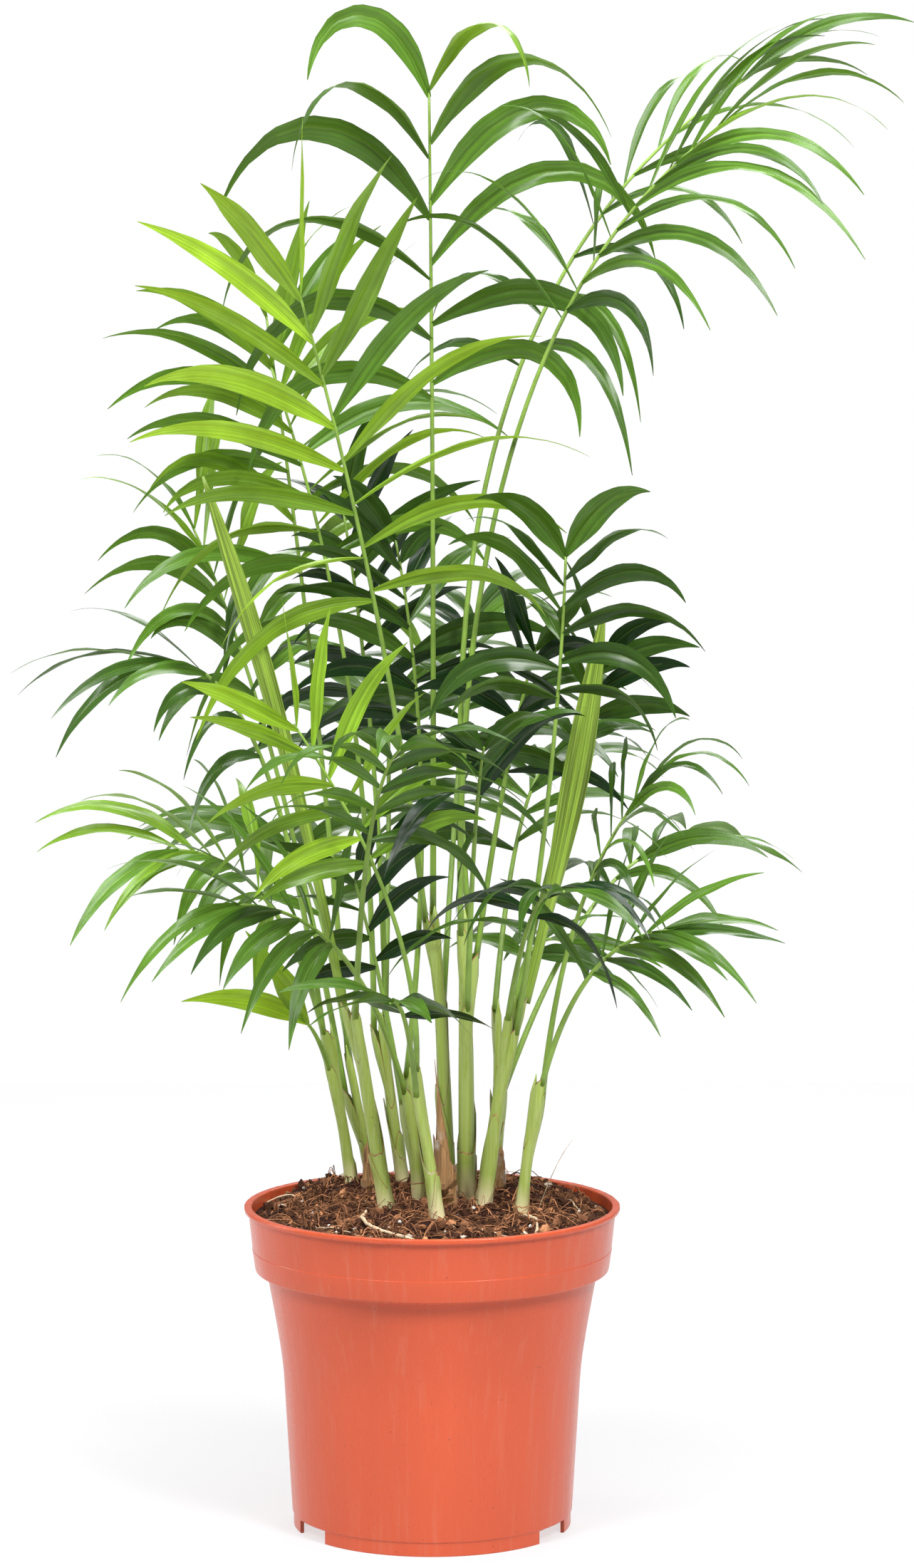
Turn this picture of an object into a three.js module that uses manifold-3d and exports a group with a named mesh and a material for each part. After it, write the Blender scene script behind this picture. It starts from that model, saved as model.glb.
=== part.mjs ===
// A parlour palm: a clump of cane-like shoots in a moulded plastic pot, with arching feather fronds.
// Millimetres, +Z up. The origin is the middle of the pot's flat underside, and the front is -Y.
import * as THREE from "three";
import { mergeVertices } from "three/addons/utils/BufferGeometryUtils.js";
import Module from "manifold-3d";

const wasm = await Module();
wasm.setup();

// ------------------------------------------------------------------------------ driving dimensions

const GAP = 0.3; // clearance between two pieces that touch

// Pot: a skirt with notches, a tapered body, a band under the lip. Radii and heights.
const POT_SIDES = 32;
const WALL = 1.5;
const SKIRT = { radius: 55.5, height: 5.8, notchAngle: 21, notches: [-30, 90, 210] };
const FOOT = { radius: 33, slope: 3.5 }; // the middle of the floor dips to the ground
const BODY = [[55.9, 5.8], [59.5, 65], [61.8, 80], [66, 103]];
const BAND = { low: 103, lowRadius: 70.75, highRadius: 73.3 };
const LIP = { low: 127, high: 129, outer: 75, inner: 71.8 };
const DRAIN = { count: 6, radius: 3.5, circle: 45, sides: 8 };

// Soil: a fill that is mounded in the middle and lumpy on top.
const SOIL = { edge: 126, crown: 129.5, lump: 1.4, pitch: 5.3, rings: [14, 28, 42, 56] };
const SOIL_SIDES = 24;
const STEM_FOOT = 118; // height of the flat cut under each shoot, which stands in the soil

// Shoots: foot on the soil, top, sideways bow at half height, radius at the foot and at the top.
const SHOOTS = {
  shoot_left: { foot: [-31, 37], top: [-41, 38, 196], bow: [-1, 0], radius: [2.7, 1.7] },
  shoot_back_left: { foot: [-22, 44], top: [-35, 46, 186], bow: [0, 0], radius: [2.6, 1.9] },
  shoot_pale: { foot: [-16, -12], top: [-31, -10, 212], bow: [-1, 0], radius: [3.5, 2.5] },
  shoot_back: { foot: [-10, 42], top: [-21, 42, 200], bow: [-1, 0], radius: [2.6, 1.9] },
  shoot_middle_left: { foot: [-4, 12], top: [-9, 13, 182], bow: [-1, 0], radius: [2.9, 2.0] },
  shoot_front: { foot: [4, -31], top: [-7, -31, 198], bow: [-1, 0], radius: [3.1, 1.9] },
  shoot_tall: { foot: [7, 21], top: [1, 21, 246], bow: [1, 0], radius: [3.4, 2.2] },
  shoot_thick: { foot: [14, 11], top: [13, 11, 246], bow: [0, 0], radius: [3.7, 2.5] },
  shoot_right: { foot: [19, -4], top: [33, -2, 213], bow: [-1, 0], radius: [3.1, 2.1] },
  shoot_back_right: { foot: [26, 42], top: [27, 44, 205], bow: [0, 0], radius: [2.5, 1.8] },
  shoot_far_right: { foot: [34, -17], top: [41, -17, 184], bow: [0, 0], radius: [2.9, 1.8] },
};
// Dry sheaths: brown leaf bases that end in a point.
const DRY_SHEATHS = {
  dry_sheath: { foot: [6, 2], top: [1, 1, 187], bow: [1, 0], radius: [4.6, 0.7] },
  dry_stub_left: { foot: [-26, 30], top: [-26, 30, 149], bow: [0, 0], radius: [2.6, 1.3] },
  dry_stub_right: { foot: [27, 31], top: [28, 31, 147], bow: [0, 0], radius: [2.3, 1.1] },
};
const SHOOT_SIDES = 7;
const SHOOT_STEPS = 5;

// Fronds. Each leaves its shoot at the height "at", on the side given in degrees from +X towards the
// back, and arches by its elbow to its tip. Pairs of leaflets sit from "bare" of the way to the tip.
// leaf: lengths of the first, middle and last leaflets. spread: their angle to the rib at the first and
// last pair. face: where their upper side looks. droop: how far the first and last bend down, in radians.
const FRONDS = {
  frond_bright_left: { shoot: "shoot_tall", at: 240, side: 205, elbow: [-18, -6, 372], tip: [-51, -30, 490],
    bare: 0.52, pairs: 8, leaf: [84, 104, 78], width: 10.5, spread: [78, 16],
    face: [0.2, -0.95, 0.1], droop: [1.5, 0.3] },
  frond_crown: { shoot: "shoot_tall", at: 243, side: 100, elbow: [1, 23, 400], tip: [-1, 14, 571],
    bare: 0.65, pairs: 6, leaf: [98, 120, 76], width: 12.5, spread: [54, 22],
    face: [0, -1, 0], droop: [3.0, 3.3] },
  frond_bright_low: { shoot: "shoot_front", at: 188, side: 265, elbow: [-3, -40, 250], tip: [-53, -50, 325],
    bare: 0.64, pairs: 6, leaf: [50, 66, 60], width: 9, spread: [80, 26],
    face: [0.3, -0.9, 0.3], droop: [0.9, 0.4] },
  frond_glossy_right: { shoot: "shoot_right", at: 198, side: -50, elbow: [50, -22, 310], tip: [52, -26, 390],
    bare: 0.68, pairs: 6, leaf: [54, 62, 48], width: 11, spread: [68, 30],
    face: [0, -0.5, 0.8], droop: [2.2, 1.6] },
  frond_arch_right: { shoot: "shoot_thick", at: 236, side: 250, elbow: [6, -6, 478], tip: [111, -22, 553],
    bare: 0.66, pairs: 9, leaf: [86, 104, 80], width: 10.5, spread: [54, 10],
    face: [-0.45, -0.65, 0.6], droop: [2.0, 1.3] },
  frond_arch_back: { shoot: "shoot_thick", at: 242, side: 70, elbow: [-8, 40, 489], tip: [126, 60, 576],
    bare: 0.55, pairs: 8, leaf: [76, 86, 70], width: 9.5, spread: [76, 10],
    face: [-0.4, -0.6, 0.65], droop: [2.4, 1.2] },
  frond_behind_left: { shoot: "shoot_back", at: 192, side: 150, elbow: [-24, 42, 346], tip: [-65, 38, 463],
    bare: 0.68, pairs: 7, leaf: [76, 92, 74], width: 9.5, spread: [70, 28],
    face: [0.2, -0.8, 0.5], droop: [1.6, 0.8] },
  frond_far_left: { shoot: "shoot_back_left", at: 180, side: 95, elbow: [-45, 58, 330], tip: [-67, 54, 484],
    bare: 0.6, pairs: 7, leaf: [84, 98, 66], width: 9, spread: [70, 34],
    face: [0.5, -0.6, 0.6], droop: [1.8, 1.0] },
  frond_left_middle: { shoot: "shoot_back_left", at: 166, side: 172, elbow: [-62, 76, 316], tip: [-98, 76, 396],
    bare: 0.64, pairs: 7, leaf: [70, 84, 70], width: 8.5, spread: [60, 24],
    face: [0.5, -0.5, 0.7], droop: [1.6, 1.2] },
  frond_reach_left: { shoot: "shoot_left", at: 184, side: 150, elbow: [-64, 40, 352], tip: [-110, 28, 343],
    bare: 0.5, pairs: 6, leaf: [62, 70, 64], width: 8.5, spread: [70, 22],
    face: [0.4, -0.4, 0.8], droop: [1.4, 0.8] },
  frond_low_left: { shoot: "shoot_left", at: 192, side: 215, elbow: [-62, 24, 268], tip: [-102, 8, 270],
    bare: 0.45, pairs: 7, leaf: [62, 68, 62], width: 8.5, spread: [70, 24],
    face: [0.3, -0.5, 0.8], droop: [1.6, 1.0] },
  frond_drooping_left: { shoot: "shoot_middle_left", at: 172, side: 235, elbow: [-30, -16, 252],
    tip: [-76, -40, 254], bare: 0.56, pairs: 6, leaf: [60, 70, 60], width: 8.5, spread: [54, 14],
    face: [0.2, -0.7, 0.7], droop: [1.2, 0.8] },
  leaf_pair_left: { shoot: "shoot_left", at: 178, side: 230, elbow: [-46, 26, 194], tip: [-51, 24, 199],
    bare: 1, pairs: 1, leaf: [56, 56, 56], width: 11, spread: [16, 16],
    face: [0, -1, 0.2], droop: [0.2, 0.2] },
  frond_fine_right: { shoot: "shoot_far_right", at: 174, side: 30, elbow: [52, -12, 262], tip: [86, -12, 298],
    bare: 0.62, pairs: 6, leaf: [48, 56, 50], width: 6.5, spread: [60, 14],
    face: [-0.5, -0.3, 0.8], droop: [2.2, 2.0] },
  frond_low_right: { shoot: "shoot_far_right", at: 180, side: -50, elbow: [58, -28, 240], tip: [92, -40, 244],
    bare: 0.5, pairs: 6, leaf: [56, 60, 50], width: 9.5, spread: [62, 14],
    face: [-0.2, -0.7, 0.7], droop: [1.0, 0.4] },
  frond_front_right: { shoot: "shoot_right", at: 204, side: -110, elbow: [38, -26, 264], tip: [50, -82, 264],
    bare: 0.4, pairs: 6, leaf: [58, 60, 46], width: 9.5, spread: [74, 26],
    face: [0, 0.3, 0.95], droop: [1.8, 1.3] },
  frond_front: { shoot: "shoot_thick", at: 206, side: -80, elbow: [16, -16, 288], tip: [20, -50, 316],
    bare: 0.55, pairs: 6, leaf: [56, 62, 42], width: 9.5, spread: [74, 28],
    face: [0, -0.5, 0.85], droop: [1.8, 1.4] },
  frond_low_middle: { shoot: "shoot_front", at: 178, side: 250, elbow: [-10, -50, 222], tip: [-16, -72, 220],
    bare: 0.6, pairs: 3, leaf: [44, 46, 38], width: 9, spread: [76, 34],
    face: [0, -0.2, 1], droop: [0.9, 0.6] },
  frond_inner_left: { shoot: "shoot_middle_left", at: 166, side: 150, elbow: [-20, 14, 220], tip: [-31, 6, 259],
    bare: 0.6, pairs: 4, leaf: [40, 46, 42], width: 9.5, spread: [70, 30],
    face: [0.1, -0.9, 0.4], droop: [1.0, 0.6] },
  frond_inner: { shoot: "shoot_middle_left", at: 178, side: 110, elbow: [4, 34, 300], tip: [-15, 38, 394],
    bare: 0.64, pairs: 7, leaf: [56, 64, 48], width: 10.5, spread: [64, 24],
    face: [0.2, -0.9, 0.3], droop: [1.2, 0.7] },
  frond_right: { shoot: "shoot_right", at: 208, side: 80, elbow: [56, 20, 300], tip: [69, 16, 348],
    bare: 0.6, pairs: 6, leaf: [46, 54, 44], width: 11, spread: [72, 30],
    face: [-0.2, -0.7, 0.7], droop: [1.2, 0.7] },
  frond_dark_right: { shoot: "shoot_thick", at: 226, side: 20, elbow: [30, 26, 312], tip: [42, 26, 350],
    bare: 0.5, pairs: 6, leaf: [50, 58, 46], width: 11.5, spread: [70, 30],
    face: [-0.1, -0.8, 0.6], droop: [1.3, 0.8] },
  frond_dark_left: { shoot: "shoot_back", at: 198, side: 60, elbow: [-22, 66, 320], tip: [-36, 66, 402],
    bare: 0.6, pairs: 6, leaf: [60, 66, 54], width: 10, spread: [60, 22],
    face: [0, -0.8, 0.5], droop: [1.2, 0.7] },
  frond_low_back_right: { shoot: "shoot_back_right", at: 190, side: 30, elbow: [38, 66, 240],
    tip: [60, 100, 218], bare: 0.45, pairs: 5, leaf: [46, 52, 46], width: 9, spread: [72, 26],
    face: [0, -0.3, 1], droop: [1.3, 0.8] },
  frond_front_left: { shoot: "shoot_pale", at: 206, side: -90, elbow: [-26, -62, 304], tip: [-12, -106, 320],
    bare: 0.5, pairs: 6, leaf: [58, 64, 50], width: 9.5, spread: [74, 26],
    face: [0, 0.2, 1], droop: [1.8, 1.2] },
  frond_back: { shoot: "shoot_back", at: 186, side: 90, elbow: [-16, 84, 316], tip: [-20, 132, 330],
    bare: 0.45, pairs: 6, leaf: [74, 84, 64], width: 10, spread: [72, 26],
    face: [0, -0.5, 0.85], droop: [1.7, 1.1] },
  frond_back_left: { shoot: "shoot_back_left", at: 156, side: 100, elbow: [-48, 92, 276], tip: [-72, 140, 262],
    bare: 0.45, pairs: 6, leaf: [66, 74, 58], width: 10, spread: [72, 26],
    face: [0.3, -0.5, 0.85], droop: [1.6, 1.0] },
  frond_back_middle: { shoot: "shoot_tall", at: 206, side: 75, elbow: [12, 66, 330], tip: [18, 122, 356],
    bare: 0.5, pairs: 6, leaf: [70, 80, 60], width: 10, spread: [70, 26],
    face: [0, -0.5, 0.85], droop: [1.7, 1.1] },
  frond_back_right: { shoot: "shoot_back_right", at: 200, side: 110, elbow: [34, 92, 290], tip: [52, 140, 296],
    bare: 0.45, pairs: 6, leaf: [66, 74, 58], width: 10, spread: [72, 26],
    face: [-0.2, -0.5, 0.85], droop: [1.7, 1.1] },
  frond_far_back_right: { shoot: "shoot_back_right", at: 168, side: 45, elbow: [66, 84, 262],
    tip: [104, 102, 262], bare: 0.5, pairs: 5, leaf: [56, 62, 50], width: 9, spread: [72, 26],
    face: [-0.4, -0.3, 0.85], droop: [1.5, 1.0] },
};
const PETIOLE = { foot: 1.8, tip: 0.9, sides: 4 };
const CHORD = 0.66; // how far the straight pieces of a frond's stalk may stray from its curve
const LIFT = 12; // degrees that leaflets stand up from the plane of their frond
const STAGGER = 0.12; // of the space between pairs, by which left and right leaflets are set apart
const TURN = 0.75; // how far a blade turns its face to the sky towards its end
const JITTER = { swing: 5, lift: 8, length: 0.08, droop: 0.2 };

// Blades: a triangular section, flat above and keeled below.
const BLADE_STEPS = 24;
const STRAIGHT_STATIONS = [0, 7, 15, 24];
const BENT_STATIONS = [0, 6, 12, 18, 24]; // for a blade that droops more than this
const BENT = 1.7;
const BLADE = { foot: 0.07, widest: 0.38, keel: 0.012 }; // shares of the width, length and length
const ROOT = 1.5; // how far a blade starts back inside its stalk
const LOUVRE = 26; // degrees by which blades overlap like slats

// Spears: young leaves that are still shut. radius: at the foot, at the thickest and at the point.
const SPEARS = {
  spear_left: { shoot: "shoot_pale", at: 210, side: 165, elbow: [-54, -14, 317], tip: [-89, -18, 419],
    radius: [1.8, 3.7, 0.5], thickest: 0.7 },
  spear_right: { shoot: "shoot_right", at: 210, side: 15, elbow: [56, 2, 284], tip: [68, 6, 366],
    radius: [2.1, 5.2, 0.6], thickest: 0.6 },
};
const SPEAR_STEPS = 8;
const SPEAR_FLAT = 0.55;

// Room: a leaflet that would come this near to anything of another frond is swung, shortened or left out.
const CLEAR = 3;
const FINE = 0.1; // edges shorter than this are closed where blades join their stalk
const CELL = 8;
const LOWEST = 134; // leaflets stay above the soil
// Swing and lift in degrees, and share of the length, tried in turn.
const TRIES = [[0, 0, 1], [10, 0, 1], [-10, 0, 1], [0, 18, 1], [0, -18, 1], [14, 18, 1], [-14, -18, 1],
  [0, 0, 0.8], [16, 24, 0.8], [-16, -24, 0.8], [0, 36, 0.8], [0, -36, 0.8], [0, 0, 0.6], [20, 30, 0.6],
  [-20, -30, 0.6], [0, 0, 0.45]];

const COLOURS = {
  pot: 0xdc6146, soil: 0x3a2a20, shoot: 0xa0be6e, dry: 0x8a6242,
  bright: 0x7fb233, leaf: 0x4f8a26, dark: 0x2f5a26,
};
const BRIGHT_FRONDS = ["frond_bright_left", "frond_bright_low", "frond_arch_right", "leaf_pair_left"];
const DARK_FRONDS = ["frond_glossy_right", "frond_reach_left", "frond_front_right", "frond_front",
  "frond_low_right", "frond_inner_left", "frond_inner", "frond_right", "frond_dark_right",
  "frond_dark_left"];

// ------------------------------------------------------------------------------ small tools

const UP = new THREE.Vector3(0, 0, 1);
const vec = (x, y, z) => new THREE.Vector3(x, y, z);
const { clamp, degToRad, lerp, smoothstep } = THREE.MathUtils;

function seeded(seed) {
  let state = seed;
  return () => {
    state = (state * 1664525 + 1013904223) % 4294967296;
    return state / 4294967296;
  };
}

function solidOf(geometry) {
  const merged = mergeVertices(geometry.deleteAttribute("normal").deleteAttribute("uv"), 1e-4);
  return new wasm.Manifold(
    new wasm.Mesh({
      numProp: 3,
      vertProperties: merged.attributes.position.array,
      triVerts: new Uint32Array(merged.index.array),
    }),
  );
}

function geometryOf(solid) {
  const { vertProperties, triVerts } = solid.getMesh();
  return new THREE.BufferGeometry()
    .setAttribute("position", new THREE.BufferAttribute(vertProperties, 3))
    .setIndex(new THREE.BufferAttribute(triVerts, 1));
}

// A closed skin over rings of points, each ring counter-clockwise about the way ahead. A last ring of one
// point closes it in a tip. The side that closes a ring is split along its other diagonal, so that both
// faces of a thin, twisted blade are split alike. isMirrored says between which rings to split the other way.
function loft(rings, isMirrored = () => false) {
  const points = rings.flat();
  const sides = rings[0].length;
  const triangles = [];
  for (let i = 2; i < sides; i++) triangles.push(0, i, i - 1);
  rings.slice(1).forEach((ring, r) => {
    const low = r * sides;
    const high = low + sides;
    const mirrored = ring.length > 1 && isMirrored(rings[r], ring);
    for (let i = 0; i < sides; i++) {
      const next = (i + 1) % sides;
      const other = (next === 0) !== mirrored;
      if (ring.length === 1) triangles.push(low + i, low + next, high);
      else if (other) triangles.push(low + i, low + next, high + i, low + next, high + next, high + i);
      else triangles.push(low + i, low + next, high + next, low + i, high + next, high + i);
    }
  });
  const last = points.length - sides;
  if (rings.at(-1).length > 1) for (let i = 2; i < sides; i++) triangles.push(last, last + i - 1, last + i);
  return new THREE.BufferGeometry().setFromPoints(points).setIndex(triangles);
}

// Point and heading on a quadratic curve, and a section across it.
const heading = ({ v0, v1, v2 }, t) =>
  v1.clone().sub(v0).multiplyScalar(1 - t).addScaledVector(v2.clone().sub(v1), t).normalize();

function section(curve, t, reference, radius, sides, flat = 1) {
  const ahead = heading(curve, t);
  const across = ahead.clone().cross(reference).normalize();
  const upward = ahead.clone().cross(across);
  return Array.from({ length: sides }, (_, i) => {
    const turn = (2 * Math.PI * i) / sides;
    return curve
      .getPoint(t)
      .addScaledVector(across, radius * Math.cos(turn))
      .addScaledVector(upward, radius * flat * Math.sin(turn));
  });
}

function tube(curve, radiusAt, reference, sides, steps, flat) {
  const rings = [];
  for (let i = 0; i <= steps; i++) {
    rings.push(section(curve, i / steps, reference, radiusAt(i / steps), sides, flat));
  }
  return loft(rings);
}

// ------------------------------------------------------------------------------ pot

function potSolid() {
  const { radius, height, notchAngle, notches } = SKIRT;
  const outer = [
    [FOOT.radius, 0], [FOOT.radius + FOOT.slope, height], [radius - WALL, height], [radius - WALL, 0],
    [radius, 0], ...BODY, [BAND.lowRadius, BAND.low], [BAND.highRadius, LIP.low], [LIP.outer, LIP.low],
    [LIP.outer, LIP.high], [LIP.inner, LIP.high],
  ];
  const inner = [
    [BAND.lowRadius - WALL, BAND.low + WALL],
    ...BODY.slice(1).reverse().map(([r, z]) => [r - WALL, z + (z === BAND.low ? WALL : 0)]),
    [BODY[0][0] - WALL, height + WALL], [FOOT.radius + FOOT.slope - 1, height + WALL],
    [FOOT.radius - 1, WALL],
  ];
  const profile = [[0, 0], ...outer, ...inner, [0, WALL]].map(([r, z]) => new THREE.Vector2(r, z));
  const shell = new THREE.LatheGeometry(profile, POT_SIDES).rotateX(Math.PI / 2);
  let pot = solidOf(shell);
  const notchWidth = 2 * radius * Math.sin(degToRad(notchAngle / 2));
  for (const angle of notches) {
    const cut = new THREE.BoxGeometry(4 * WALL, notchWidth, 2 * height - 2 * GAP)
      .translate(radius - WALL, 0, 0)
      .rotateZ(degToRad(angle));
    pot = pot.subtract(solidOf(cut));
  }
  for (let i = 0; i < DRAIN.count; i++) {
    const hole = new THREE.CylinderGeometry(DRAIN.radius, DRAIN.radius, 4 * WALL, DRAIN.sides)
      .rotateX(Math.PI / 2)
      .translate(DRAIN.circle, 0, height)
      .rotateZ((2 * Math.PI * i) / DRAIN.count);
    pot = pot.subtract(solidOf(hole));
  }
  return pot;
}

// ------------------------------------------------------------------------------ soil

const soilHeight = (x, y) => {
  const out = Math.min(1, Math.hypot(x, y) / LIP.inner);
  const lumps = Math.sin(x / SOIL.pitch + 1.3) * Math.cos(y / SOIL.pitch) + Math.sin((x + y) / 9);
  return lerp(SOIL.crown, SOIL.edge, out * out) + SOIL.lump * lumps * (1 - out ** 4);
};

function soilSolid(shoots) {
  const edge = LIP.inner - GAP;
  const wallInside = BODY.slice(1).map(([r, z]) => [r - WALL - GAP, z + (z === BAND.low ? WALL + GAP : 0)]);
  const sides = [
    [FOOT.radius - 1 - GAP, WALL + GAP], [FOOT.radius + FOOT.slope - 1 - GAP, SKIRT.height + WALL + GAP],
    [BODY[0][0] - WALL - GAP, SKIRT.height + WALL + GAP], ...wallInside,
    [BAND.lowRadius - WALL - GAP, BAND.low + WALL + GAP], [edge - 0.4, SOIL.edge],
  ];
  const top = [...SOIL.rings].reverse().map((r) => [r, SOIL.crown]);
  const profile = [[0, WALL + GAP], ...sides, ...top, [0, SOIL.crown]];
  const geometry = new THREE.LatheGeometry(profile.map(([r, z]) => new THREE.Vector2(r, z)), SOIL_SIDES);
  geometry.rotateX(Math.PI / 2);
  const place = geometry.attributes.position;
  for (let i = 0; i < place.count; i++) {
    if (place.getZ(i) > SOIL.crown - 0.01) place.setZ(i, soilHeight(place.getX(i), place.getY(i)));
  }
  return shoots.reduce((soil, { curve, radiusAt }) => {
    const low = heading(curve, 0).multiplyScalar(-GAP).add(curve.v0);
    const pocket = new THREE.QuadraticBezierCurve3(low, curve.v1, curve.v2);
    const wider = (t) => radiusAt(t) + GAP;
    return soil.subtract(solidOf(tube(pocket, wider, vec(0, 1, 0), SHOOT_SIDES, SHOOT_STEPS)));
  }, solidOf(geometry));
}

// ------------------------------------------------------------------------------ shoots

function shootOf({ foot, top, bow, radius }) {
  const low = vec(foot[0], foot[1], STEM_FOOT);
  const high = vec(...top);
  const middle = low.clone().lerp(high, 0.5).add(vec(bow[0], bow[1], 0));
  return {
    curve: new THREE.QuadraticBezierCurve3(low, middle, high),
    radiusAt: (t) => lerp(radius[0], radius[1], t),
    heightAt: (z) => (z - STEM_FOOT) / (top[2] - STEM_FOOT),
  };
}

// The curve of a frond or spear, which starts beside its shoot.
function stalkOf({ shoot, at, side, elbow, tip }, thickness) {
  const { curve, radiusAt, heightAt } = shoots[shoot];
  const t = heightAt(at);
  const reach = radiusAt(t) + GAP + thickness;
  const turn = degToRad(side);
  const start = curve.getPoint(t).add(vec(reach * Math.cos(turn), reach * Math.sin(turn), 0));
  return new THREE.QuadraticBezierCurve3(start, vec(...elbow), vec(...tip));
}

// ------------------------------------------------------------------------------ room

const room = new Map();
const cellOf = (value) => Math.floor(value / CELL);

function claim(owner, point, radius) {
  const key = [cellOf(point.x), cellOf(point.y), cellOf(point.z)].join();
  if (!room.has(key)) room.set(key, []);
  room.get(key).push({ owner, point, radius });
}

function isTaken(owner, point) {
  for (let x = -1; x <= 1; x++)
    for (let y = -1; y <= 1; y++)
      for (let z = -1; z <= 1; z++) {
        const key = [cellOf(point.x) + x, cellOf(point.y) + y, cellOf(point.z) + z].join();
        for (const other of room.get(key) ?? []) {
          if (other.owner !== owner && other.point.distanceTo(point) < CLEAR + other.radius) return true;
        }
      }
  return false;
}

function claimStalk(owner, curve, radiusAt) {
  const steps = Math.ceil(curve.v0.distanceTo(curve.v1) + curve.v1.distanceTo(curve.v2)) / 2;
  for (let i = 0; i <= steps; i++) claim(owner, curve.getPoint(i / steps), radiusAt(i / steps));
}

// ------------------------------------------------------------------------------ fronds

// A leaflet's blade: its middle line bends down under its weight while its face turns to the sky.
function bladeSamples(start, ahead, face, { length, width, droop }) {
  const samples = [];
  const point = start.clone();
  for (let i = 0; i <= BLADE_STEPS; i++) {
    const u = i / BLADE_STEPS;
    const sky = UP.clone().addScaledVector(ahead, -UP.dot(ahead));
    face = face.clone().addScaledVector(ahead, -face.dot(ahead)).normalize();
    const turn = TURN * smoothstep(u, 0, 0.6) * clamp(1 + 2 * face.dot(sky), 0, 1);
    const upper = face.clone().multiplyScalar(1 - turn).addScaledVector(sky, turn).normalize();
    const rise = Math.sin((Math.PI / 2) * Math.min(1, u / BLADE.widest));
    const fall = Math.cos((Math.PI / 2) * Math.max(0, (u - BLADE.widest) / (1 - BLADE.widest)));
    const half = (width / 2) * lerp(BLADE.foot, 1, rise) * fall ** 0.9;
    const keel = BLADE.keel * length * lerp(0.4, 1, Math.min(1, 4 * u));
    samples.push({ point: point.clone(), across: ahead.clone().cross(upper), upper, half, keel });
    point.addScaledVector(ahead, length / BLADE_STEPS);
    ahead = ahead.clone().addScaledVector(sky, (-droop * (0.35 + 1.3 * u)) / BLADE_STEPS).normalize();
  }
  return samples;
}

const edgePoints = (samples) =>
  samples.flatMap(({ point, across, half }) =>
    [-1, -0.5, 0, 0.5, 1].map((share) => point.clone().addScaledVector(across, share * half)));

// Whether the upper side of a twisted blade bulges away from its keel only if it is split the other way.
const bulgesMirrored = (low, high) => {
  const [keel, one, other] = [[1, 1], [0, 2], [2, 0]].map(([a, b]) => low[a].clone().lerp(high[b], 0.5));
  return other.distanceTo(keel) > one.distanceTo(keel);
};

function bladeSolid(samples, droop) {
  const stations = droop > BENT ? BENT_STATIONS : STRAIGHT_STATIONS;
  const rings = stations.slice(0, -1).map((station) => {
    const { point, across, upper, half, keel } = samples[station];
    return [
      point.clone().addScaledVector(across, half),
      point.clone().addScaledVector(upper, -keel),
      point.clone().addScaledVector(across, -half),
    ];
  });
  return solidOf(loft([...rings, [samples.at(-1).point]], bulgesMirrored));
}

// Every leaflet that finds room on a frond, as its samples and length.
function leafletsOf(name, frond, curve, seed) {
  const random = seeded(seed);
  const jitter = (size) => size * (2 * random() - 1);
  const leaflets = [];
  for (let pair = 0; pair < frond.pairs; pair++) {
    const age = frond.pairs > 1 ? pair / (frond.pairs - 1) : 1;
    const step = (1 - frond.bare) / Math.max(1, frond.pairs - 1);
    for (const hand of [1, -1]) {
      const t = Math.min(1, frond.bare + step * (pair + STAGGER * hand));
      const ahead = heading(curve, t);
      const across = ahead.clone().cross(vec(...frond.face)).normalize();
      const normal = across.clone().cross(ahead);
      const swing = lerp(frond.spread[0], frond.spread[1], age) + jitter(JITTER.swing);
      const lift = LIFT + jitter(JITTER.lift);
      const [first, middle, last] = frond.leaf;
      const whole = age < 0.5 ? lerp(first, middle, 2 * age) : lerp(middle, last, 2 * age - 1);
      const length = whole * (1 + jitter(JITTER.length));
      const droop = lerp(frond.droop[0], frond.droop[1], age) * (1 + jitter(JITTER.droop));
      for (const [moreSwing, moreLift, share] of TRIES) {
        const out = degToRad(swing + moreSwing);
        const up = degToRad(lift + moreLift);
        const flat = ahead.clone().multiplyScalar(Math.cos(out)).addScaledVector(across, hand * Math.sin(out));
        const toward = flat.multiplyScalar(Math.cos(up)).addScaledVector(normal, Math.sin(up));
        const blade = { length: length * share, width: frond.width * Math.sqrt(share), droop };
        const upper = normal.clone().applyAxisAngle(toward, hand * degToRad(LOUVRE));
        const root = curve.getPoint(t).addScaledVector(ahead, -ROOT);
        const samples = bladeSamples(root, toward, upper, blade);
        const points = edgePoints(samples);
        if (points.some((point) => point.z < LOWEST || isTaken(name, point))) continue;
        points.forEach((point) => claim(name, point, 0));
        leaflets.push(samples);
        break;
      }
    }
  }
  return leaflets;
}

// The biggest body of a solid: a scrap beside it is dropped and a hollow sealed inside it is filled.
const largestOf = (solid) =>
  solid.decompose().reduce((most, body) => (body.volume() > most.volume() ? body : most));

// ------------------------------------------------------------------------------ assembly

const palm = new THREE.Group();

function add(name, solid, colour, roughness) {
  const material = new THREE.MeshStandardMaterial({ color: colour, roughness, flatShading: true });
  const mesh = new THREE.Mesh(geometryOf(solid), material);
  mesh.name = name;
  palm.add(mesh);
}

const shootTable = { ...SHOOTS, ...DRY_SHEATHS };
const shoots = Object.fromEntries(Object.entries(shootTable).map(([name, row]) => [name, shootOf(row)]));

add("pot", potSolid(), COLOURS.pot, 0.35);
add("soil", soilSolid(Object.values(shoots)), COLOURS.soil, 0.95);

for (const [name, { curve, radiusAt }] of Object.entries(shoots)) {
  claimStalk(name, curve, radiusAt);
  const solid = solidOf(tube(curve, radiusAt, vec(0, 1, 0), SHOOT_SIDES, SHOOT_STEPS));
  add(name, solid, name in SHOOTS ? COLOURS.shoot : COLOURS.dry, 0.5);
}

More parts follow.
